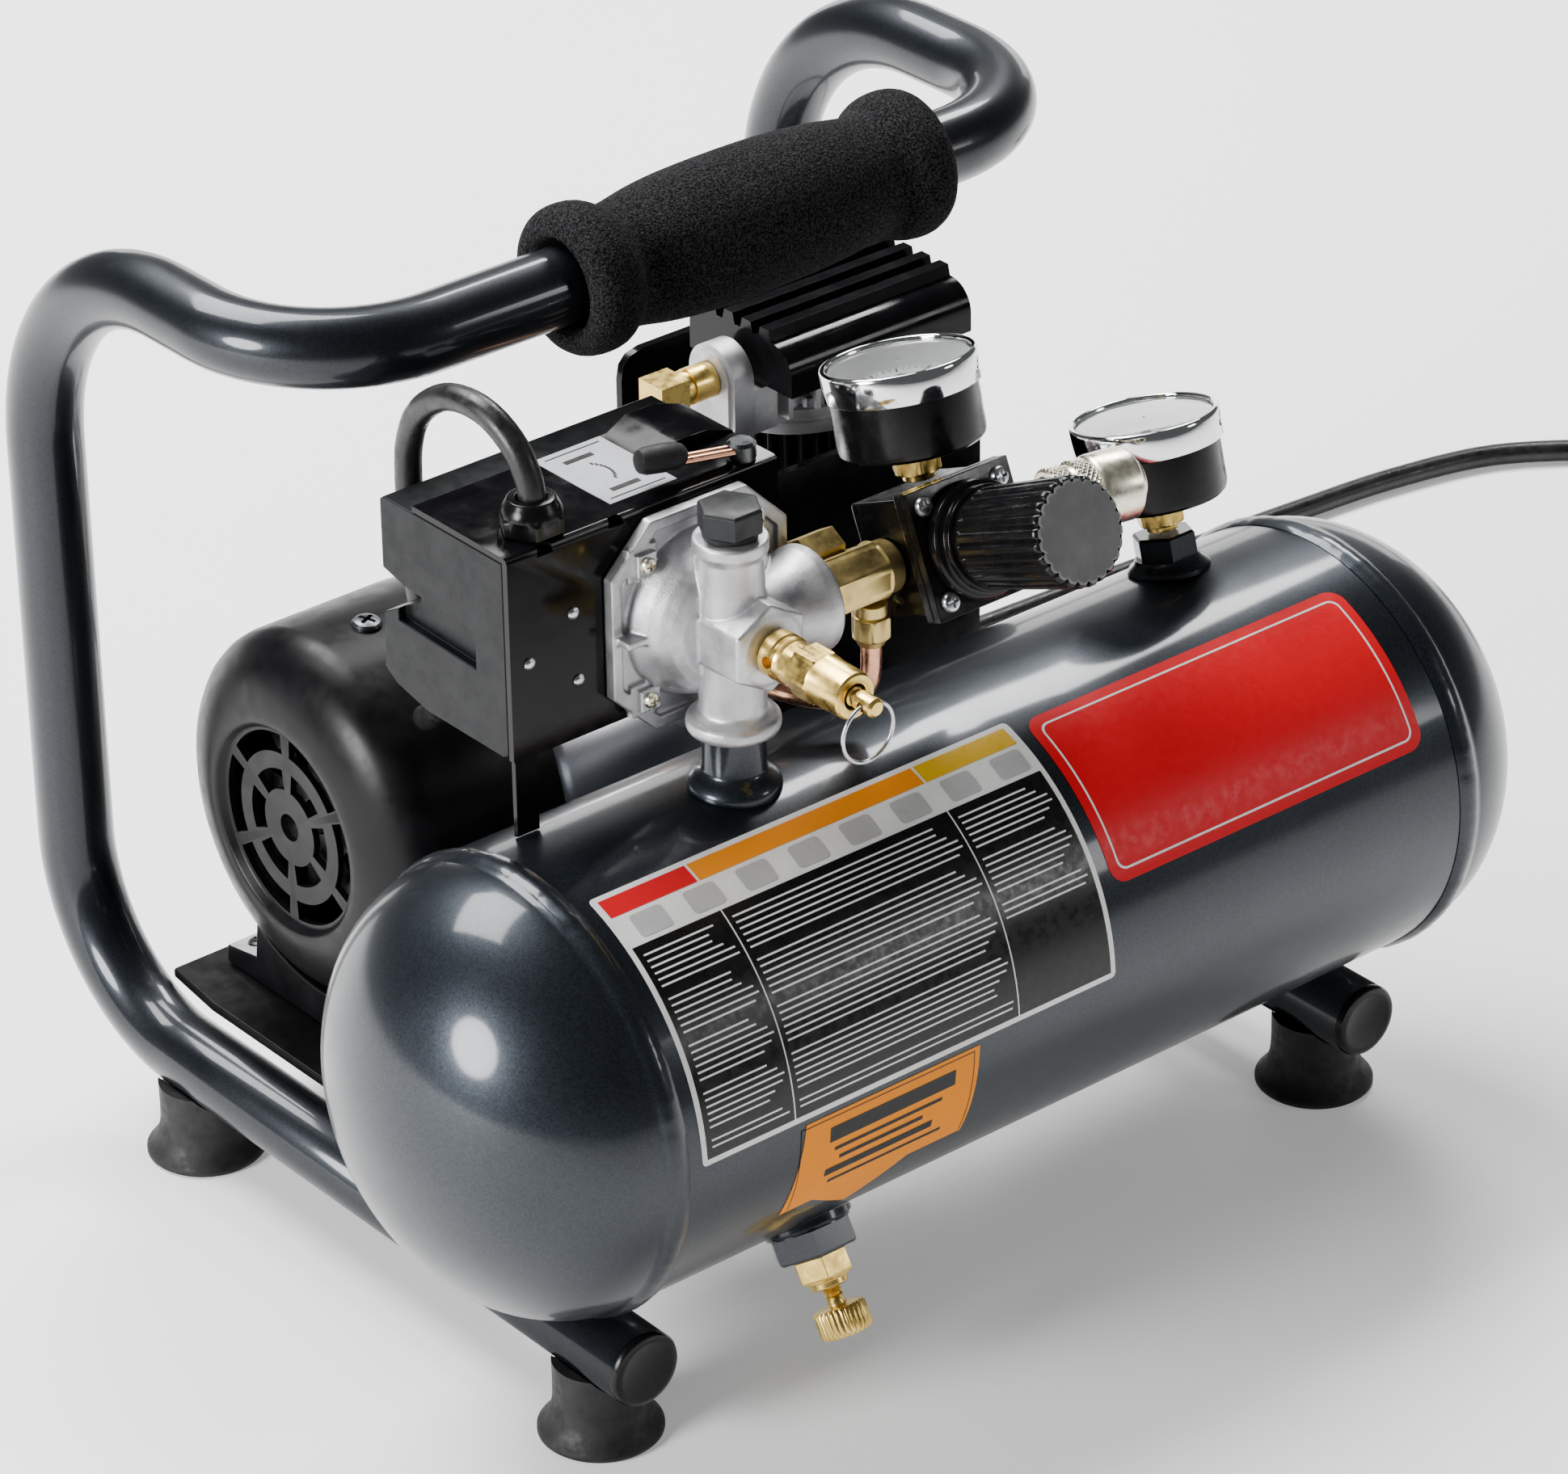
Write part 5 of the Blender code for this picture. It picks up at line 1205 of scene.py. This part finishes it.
def safety_valve():
    place = VALVE_PLACE
    rings = [(0.0300, 0.0036), (0.0462, 0.0036), (0.0464, 0.0040), (0.0464, 0.0058), (0.0458, 0.0063),
             (0.0350, 0.0066), (0.0345, 0.0068), (0.0342, 0.0072, HEX), (0.0270, 0.0072, HEX),
             (0.0266, 0.0062), (0.0262, 0.0058), (0.0228, 0.0058), (0.0222, 0.0062), (0.0214, 0.0064),
             (0.0206, 0.0060), (0.0200, 0.0060), (0.0194, 0.0064), (0.0160, 0.0064), (0.0152, 0.0056),
             (0.0148, 0.0050)]
    body = turned("safety_valve_skin", rings, 96, place, TO_FRONT)
    hole = Vector(place) + Vector((-0.0064, -0.0192, 0.0006))
    cut(body, cylinder_bm(0.0016, -0.004, 0.004, 32), hole, TO_RIGHT)
    dress(body, BRASS, "safety_valve", edge=0.0002)
    rings = [(0.0310, 0.0026), (0.0460, 0.0026), (0.0464, 0.0021), (0.0476, 0.0021), (0.0480, 0.0026),
             (0.0538, 0.0026), (0.0546, 0.0018)]
    stem = turned("safety_stem_skin", rings, 64, place, TO_FRONT)
    pull = Vector(place) + Vector((0, -0.0510, 0))
    cut(stem, cylinder_bm(0.0012, -0.006, 0.006, 32), pull, TO_RIGHT)
    dress(stem, BRASS, "safety_stem")
    bm = bmesh.new()
    bmesh.ops.create_circle(bm, segments=16, radius=0.00055, matrix=Matrix.Translation((0, 0, 0.00015))
                            @ TO_RIGHT.to_matrix().to_4x4())
    bmesh.ops.spin(bm, geom=bm.edges[:] + bm.verts[:], cent=(0, 0, -0.0080), axis=(0, 1, 0),
                   angle=2 * pi, steps=96, use_duplicate=False)
    bmesh.ops.remove_doubles(bm, verts=bm.verts, dist=1e-6)
    dress(shape("pull_ring_skin", bm, pull), STEEL, "pull_ring")


# ---------------------------------------------------------------- regulator

def regulator():
    place = REGULATOR_PLACE
    turn = Euler((pi / 2 - REGULATOR_TILT, 0, 0))
    side = sqrt(2) / 2
    flange = 0.0345 * side
    rings = [(-0.0120, 0.029 * side, SQUARE), (-0.0110, 0.031 * side, SQUARE),
             (0.0095, 0.031 * side, SQUARE), (0.0100, flange, SQUARE), (0.0130, flange, SQUARE)]
    lathe("regulator_body", PLASTIC, rings, 64, place, turn, edge=0.0007)
    rings = [(0.0133, flange, SQUARE), (0.0158, flange, SQUARE), (0.0160, 0.0146),
             (0.0170, 0.0156), (0.0180, 0.0157), (0.0196, 0.0157), (0.0204, 0.0150), (0.0206, 0.0142),
             (0.0212, 0.0136), (0.0218, 0.0136), (0.0222, 0.0140), (0.0234, 0.0140), (0.0237, 0.0134),
             (0.0237, 0.0082), (0.0480, 0.0082), (0.0490, 0.0074)]
    lathe("regulator_bonnet", PLASTIC, rings, 96, place, turn, edge=0.0003)
    frame_matrix = Matrix.Translation(place) @ turn.to_matrix().to_4x4()
    for index in range(4):
        sx = 0.0138 if index % 2 else -0.0138
        sy = 0.0138 if index // 2 else -0.0138
        spot = frame_matrix @ Vector((sx * 0.93, sy * 0.93, 0.0157))
        screw(f"bonnet_screw_{index}", spot, turn, 0.0027, STEEL, height=0.0018)
    flutes = wave_section(24, 0.062, 3.5)
    rings = [(0.0520, 0.0088), (0.0240, 0.0088), (0.0240, 0.0126), (0.0246, 0.0132), (0.0262, 0.0133),
             (0.0268, 0.0134, flutes), (0.0580, 0.0144, flutes), (0.0592, 0.0141, flutes),
             (0.0597, 0.0134), (0.0594, 0.0128)]
    lathe("regulator_knob", PLASTIC, rings, 288, place, turn, sharp=45)
    rings = [(0.0585, 0.0132, flutes), (0.0598, 0.0134, flutes), (0.0601, 0.0128, flutes)]
    face = turned("regulator_knob_face", rings, 288, place, turn)
    dress(face, KNOB_FACE, body="knob", sharp=15)


def coupler():
    place = (REGULATOR_X + REGULATOR_HALF + 0.0020, *REGULATOR_PLACE[1:])
    turn = Euler((0, pi / 2, -COUPLER_TURN))
    rings = [(0.0300, 0.0050), (0.0446, 0.0050), (0.0450, 0.0053), (0.0450, 0.0059), (0.0446, 0.0063),
             (0.0430, 0.0068), (0.0070, 0.0068), (0.0065, 0.0072), (0.0062, 0.0080),
             (0.0058, 0.0085, HEX), (0.0003, 0.0085, HEX), (0, 0.0081, HEX)]
    lathe("coupler_body", NICKEL, rings, 96, place, turn, edge=0.0003)
    parts = (("sleeve_core", [(0.0180, 0.0072), (0.0180, 0.0084), (0.0183, 0.0087), (0.0300, 0.0087),
                              (0.0305, 0.0094), (0.0312, 0.0099), (0.0320, 0.0100), (0.0408, 0.0100),
                              (0.0418, 0.0098), (0.0425, 0.0091), (0.0425, 0.0072)], NICKEL),
             ("sleeve_knurl_back", [(0.0186, 0.0080), (0.0186, 0.0090), (0.0190, 0.0093),
                                    (0.0231, 0.0093), (0.0235, 0.0090), (0.0235, 0.0080)], KNURL),
             ("sleeve_knurl_front", [(0.0256, 0.0080), (0.0256, 0.0093), (0.0260, 0.0096),
                                     (0.0296, 0.0096), (0.0300, 0.0093), (0.0300, 0.0080)], KNURL))
    for name, rings, look in parts:
        piece = turned(name, rings, 120, place, turn, closed=True)
        node = "coupler_sleeve" if name == "sleeve_core" else None
        dress(piece, look, node, body="sleeve")


# ---------------------------------------------------------------- gauges

SCALE_START = 225  # degrees, at zero
SCALE_SWEEP = 270


def gauge(name, place, needle_body):
    turn = Euler((-GAUGE_LEAN, 0, 0))
    rings = [(0.0090, 0.0040), (0.0090, 0.0172), (0.0094, 0.0184), (0.0103, 0.0193), (0.0118, 0.0196),
             (0.0290, 0.0196), (0.0290, 0.0184), (0.0245, 0.0184), (0.0245, 0.0026)]
    dress(turned(name + "_case", rings, 120, place, turn), PLASTIC, name)
    rings = [(0.0003, 0.0042), (0.0018, 0.0042), (0.0022, 0.0060), (0.0027, 0.0068, HEX),
             (0.0073, 0.0068, HEX), (0.0078, 0.0060), (0.0080, 0.0050), (0.0091, 0.0050)]
    dress(turned(name + "_stem", rings, 96, place, turn), BRASS, body="frame", edge=0.0002)
    rings = [(0.0248, 0.0200), (0.0248, 0.0205), (0.0250, 0.0207), (0.0318, 0.0207), (0.0325, 0.0206),
             (0.0329, 0.0203), (0.0330, 0.0199), (0.0329, 0.0192), (0.0326, 0.0190), (0.0322, 0.0189),
             (0.0295, 0.0189), (0.0295, 0.0200)]
    lathe(name + "_bezel", CHROME, rings, 144, place, turn, closed=True, sharp=50)
    rings = [(0.0247, 0.0181), (0.0290, 0.0182), (0.0310, 0.0186), (0.0310, 0.0182), (0.0262, 0.0176),
             (0.0254, 0.0172), (0.0252, 0.0164), (0.0252, 0.0020)]
    dress(turned(name + "_dial", rings, 96, place, turn), DIAL, body="frame")
    rings = [(0.0312, 0.0187), (0.0319, 0.0187), (0.0322, 0.0150), (0.0323, 0.0004), (0.0316, 0.0004),
             (0.0315, 0.0150)]
    dress(turned(name + "_lens", rings, 96, place, turn, closed=True), LENS, body="frame")
    whole = Matrix.Translation(place) @ turn.to_matrix().to_4x4()
    gauge_scale(name, place, turn)
    gauge_numbers(name, whole)
    gauge_pointer(name, whole, needle_body)


def gauge_scale(name, place, turn):
    """Forty divisions, every fifth one longer."""
    marks = bmesh.new()
    for tick in range(41):
        angle = radians(SCALE_START - SCALE_SWEEP * tick / 40)
        long = tick % 5 == 0
        inner = 0.0128 if long else 0.0142
        wide = 0.00028 if long else 0.00013
        start = len(marks.verts)
        add_box(marks, (inner, -wide, 0.02522), (0.0160, wide, 0.02530))
        marks.verts.ensure_lookup_table()
        bmesh.ops.transform(marks, matrix=Matrix.Rotation(angle, 4, "Z"), verts=marks.verts[start:])
    dress(shape(name + "_ticks", marks, place, turn), INK, body="frame")


def gauge_numbers(name, whole):
    """Every second long mark has its number."""
    for index in range(0, 9, 2):
        angle = radians(SCALE_START - SCALE_SWEEP * index / 8)
        text = bpy.data.curves.new(f"{name}_number_{index}", "FONT")
        text.body = str(index * 20)
        text.size = 0.0036
        text.align_x = "CENTER"
        text.align_y = "CENTER"
        number = stood(f"{name}_number_{index}", text)
        spot = Vector((0.0103 * cos(angle), 0.0103 * sin(angle), 0.02528))
        number.matrix_world = whole @ Matrix.Translation(spot)
        dress(number, INK, body="frame")


def gauge_pointer(name, whole, needle_body):
    rest = whole @ Matrix.Rotation(radians(SCALE_START), 4, "Z")
    pointer = prism(name + "_pointer", [(-0.0045, -0.0006), (0.0124, -0.00018), (0.0124, 0.00018),
                                        (-0.0045, 0.0006)], 0.0265, 0.0268, 2)
    pointer.matrix_world = rest
    dress(pointer, NEEDLE, name + "_needle")
    cap = turned(name + "_pointer_cap", [(0.0262, 0.0020), (0.0272, 0.0020), (0.0276, 0.0014)], 48)
    cap.matrix_world = rest
    dress(cap, INK, body=needle_body)


def gauges():
    top = Vector(REGULATOR_PLACE)
    top += Vector((0, sin(REGULATOR_TILT), cos(REGULATOR_TILT))) * (0.0155 + GAP + 0.0012)
    gauge("outlet_gauge", top, "outlet_needle")
    y, z = on_tank(GAUGE_LEAN)
    lift = Vector((0, sin(GAUGE_LEAN), cos(GAUGE_LEAN))) * (0.0105 + GAP)
    gauge("tank_gauge", Vector((GAUGE_X, y, z)) + lift, "tank_needle")


# ---------------------------------------------------------------- labels

# Heights of the printed films over the shell, from the lowest up
BORDER_LIFT = 0.00010
PANEL_LIFT = 0.00014
FIELD_LIFT = 0.00016
PRINT_LIFT = 0.00018


def rounded(low_x, high_x, low_a, high_a, radius):
    """Outline of a rounded rectangle on the unrolled tank."""
    steps = 6
    points = []
    for cx, ca, start in ((high_x - radius, high_a - radius, 0), (low_x + radius, high_a - radius, 90),
                          (low_x + radius, low_a + radius, 180), (high_x - radius, low_a + radius, 270)):
        for step in range(steps + 1):
            angle = radians(start + 90 * step / steps)
            points.append((cx + radius * cos(angle), ca + radius * sin(angle)))
    return points


def decal(name, outlines, lift, look):
    """Flat shapes in (x, distance round the tank from its top), bent onto the shell."""
    bm = bmesh.new()
    for outline in outlines:
        bm.faces.new([bm.verts.new((x, a, 0)) for x, a in outline])
    low = min(vert.co.y for vert in bm.verts)
    high = max(vert.co.y for vert in bm.verts)
    step = TANK_R * radians(3)
    count = int((high - low) / step)
    for index in range(1, count + 1):
        bmesh.ops.bisect_plane(bm, geom=bm.verts[:] + bm.edges[:] + bm.faces[:],
                               plane_co=(0, low + index * step, 0), plane_no=(0, 1, 0))
    reach = TANK_R + lift
    for vert in bm.verts:
        angle = vert.co.y / TANK_R
        vert.co = (vert.co.x, TANK_Y - reach * sin(angle), TANK_Z + reach * cos(angle))
    made = shape(name, bm)
    for face in made.data.polygons:
        face.use_smooth = True
    dress(made, look, body="frame", sharp=80)


def span(low, high):
    """Two angles forward of the top, in degrees, as distances round the tank."""
    return TANK_R * radians(low), TANK_R * radians(high)


def bar(low_x, high_x, low_a, high_a):
    return [(low_x, low_a), (high_x, low_a), (high_x, high_a), (low_x, high_a)]


def labels():
    """Blank panels: nothing on them is lettering, only blocks and fine rules."""
    left, right = -0.1305, 0.0080
    top, bottom = span(17, 88)
    decal("info_border", [rounded(left, right, top, bottom, 0.0015)], BORDER_LIFT, LABEL_WHITE)
    edge = 0.0016
    head = top + 0.0172
    decal("info_field", [bar(left + edge, right - edge, head, bottom - edge)], FIELD_LIFT, LABEL_BLACK)
    cuts = (left + edge, left + 0.0300, left + 0.1050, right - edge)
    for index, look in enumerate((LABEL_RED, LABEL_ORANGE, LABEL_AMBER)):
        strip = bar(cuts[index] + 0.0004, cuts[index + 1] - 0.0004, top + edge, top + 0.0075)
        decal(f"info_strip_{index}", [strip], FIELD_LIFT, look)
    fields = []
    for index in range(8):
        x = left + 0.0062 + index * 0.0170
        fields.append(rounded(x, x + 0.0100, top + 0.0088, top + 0.0158, 0.0012))
    decal("info_fields", fields, PRINT_LIFT, LABEL_GREY)
    rules = [bar(x - 0.0002, x + 0.0002, head, bottom - edge) for x in cuts[1:3]]
    for number, (low, high) in enumerate(zip(cuts, cuts[1:])):
        rows = 30 if number < 2 else 17
        for row in range(rows):
            a = head + 0.0026 + row * 0.0018
            end = high - 0.0015 - 0.006 * (0.5 + 0.5 * sin(7.3 * row + number))
            if row % 7 == 6 or a > bottom - 0.004:
                continue
            rules.append(bar(low + 0.0018, end, a, a + 0.0005))
    decal("info_rules", rules, PRINT_LIFT, LABEL_WHITE)
    low, high = span(19, 66)
    decal("red_panel", [rounded(0.0120, 0.1250, low, high, 0.0050)], PANEL_LIFT, LABEL_RED)
    inset = 0.0030
    outer = rounded(0.0120 + inset, 0.1250 - inset, low + inset, high - inset, 0.0030)
    inner = rounded(0.0126 + inset, 0.1244 - inset, low + inset + 0.0006, high - inset - 0.0006, 0.0026)
    frame_strips = [[outer[i], outer[(i + 1) % len(outer)], inner[(i + 1) % len(inner)], inner[i]]
                    for i in range(len(outer))]
    decal("red_panel_line", frame_strips, PRINT_LIFT, LABEL_WHITE)
    arrow()


def arrow():
    """Orange panel whose foot is an arrow towards the drain."""
    left, right = -0.1010, -0.0390
    top, foot = span(89.5, 117)
    tip = TANK_R * radians(128)
    middle = DRAIN_X
    outline = [(left + 0.004, top), (right, top), (right - 0.001, foot), (middle + 0.016, foot),
               (middle, tip), (middle - 0.016, foot), (left, foot)]
    decal("arrow_panel", [outline], PANEL_LIFT, LABEL_ORANGE)
    edge = 0.0011
    line = 0.0003
    low_x, high_x = left + 0.0012 + edge, right - edge - 0.0006
    marks = [bar(low_x, high_x, top + edge, top + edge + line),
             bar(low_x, low_x + line, top + edge, foot - edge),
             bar(high_x - line, high_x, top + edge, foot - edge),
             bar(left + 0.012, right - 0.008, top + 0.0042, top + 0.0090),
             bar(left + 0.014, right - 0.012, top + 0.0112, top + 0.0124),
             bar(left + 0.016, right - 0.018, top + 0.0146, top + 0.0160),
             bar(left + 0.012, right - 0.014, top + 0.0182, top + 0.0208),
             bar(left + 0.014, right - 0.010, top + 0.0230, top + 0.0242)]
    decal("arrow_marks", marks, PRINT_LIFT, INK)


# ---------------------------------------------------------------- remaining nodes

def plain_nodes():
    """Nodes whose own shape is right: only welded, softened and given a material."""
    looks = {"crankcase": CAST, "wobble_piston": CAST, "crankshaft": STEEL, "motor_fan": PLASTIC,
             "pump_fan": PLASTIC, "cord_relief": RUBBER}
    for name, look in looks.items():
        node = frame["nodes"][name]
        node.data.materials.clear()
        node.data.materials.append(look)
        for face in node.data.polygons:
            face.use_smooth = True
        weld = node.modifiers.new("weld", "WELD")
        weld.merge_threshold = 0.00001
        split = node.modifiers.new("edges", "EDGE_SPLIT")
        split.split_angle = radians(32)


camera()
studio()
power_cord()
tank()
gauge_bung()
drain()
carrying_frame()
motor_plate()
handle_grip()
motor()
pump()
pressure_switch()
manifold()
manifold_fittings()
safety_valve()
regulator()
coupler()
gauges()
labels()
plain_nodes()
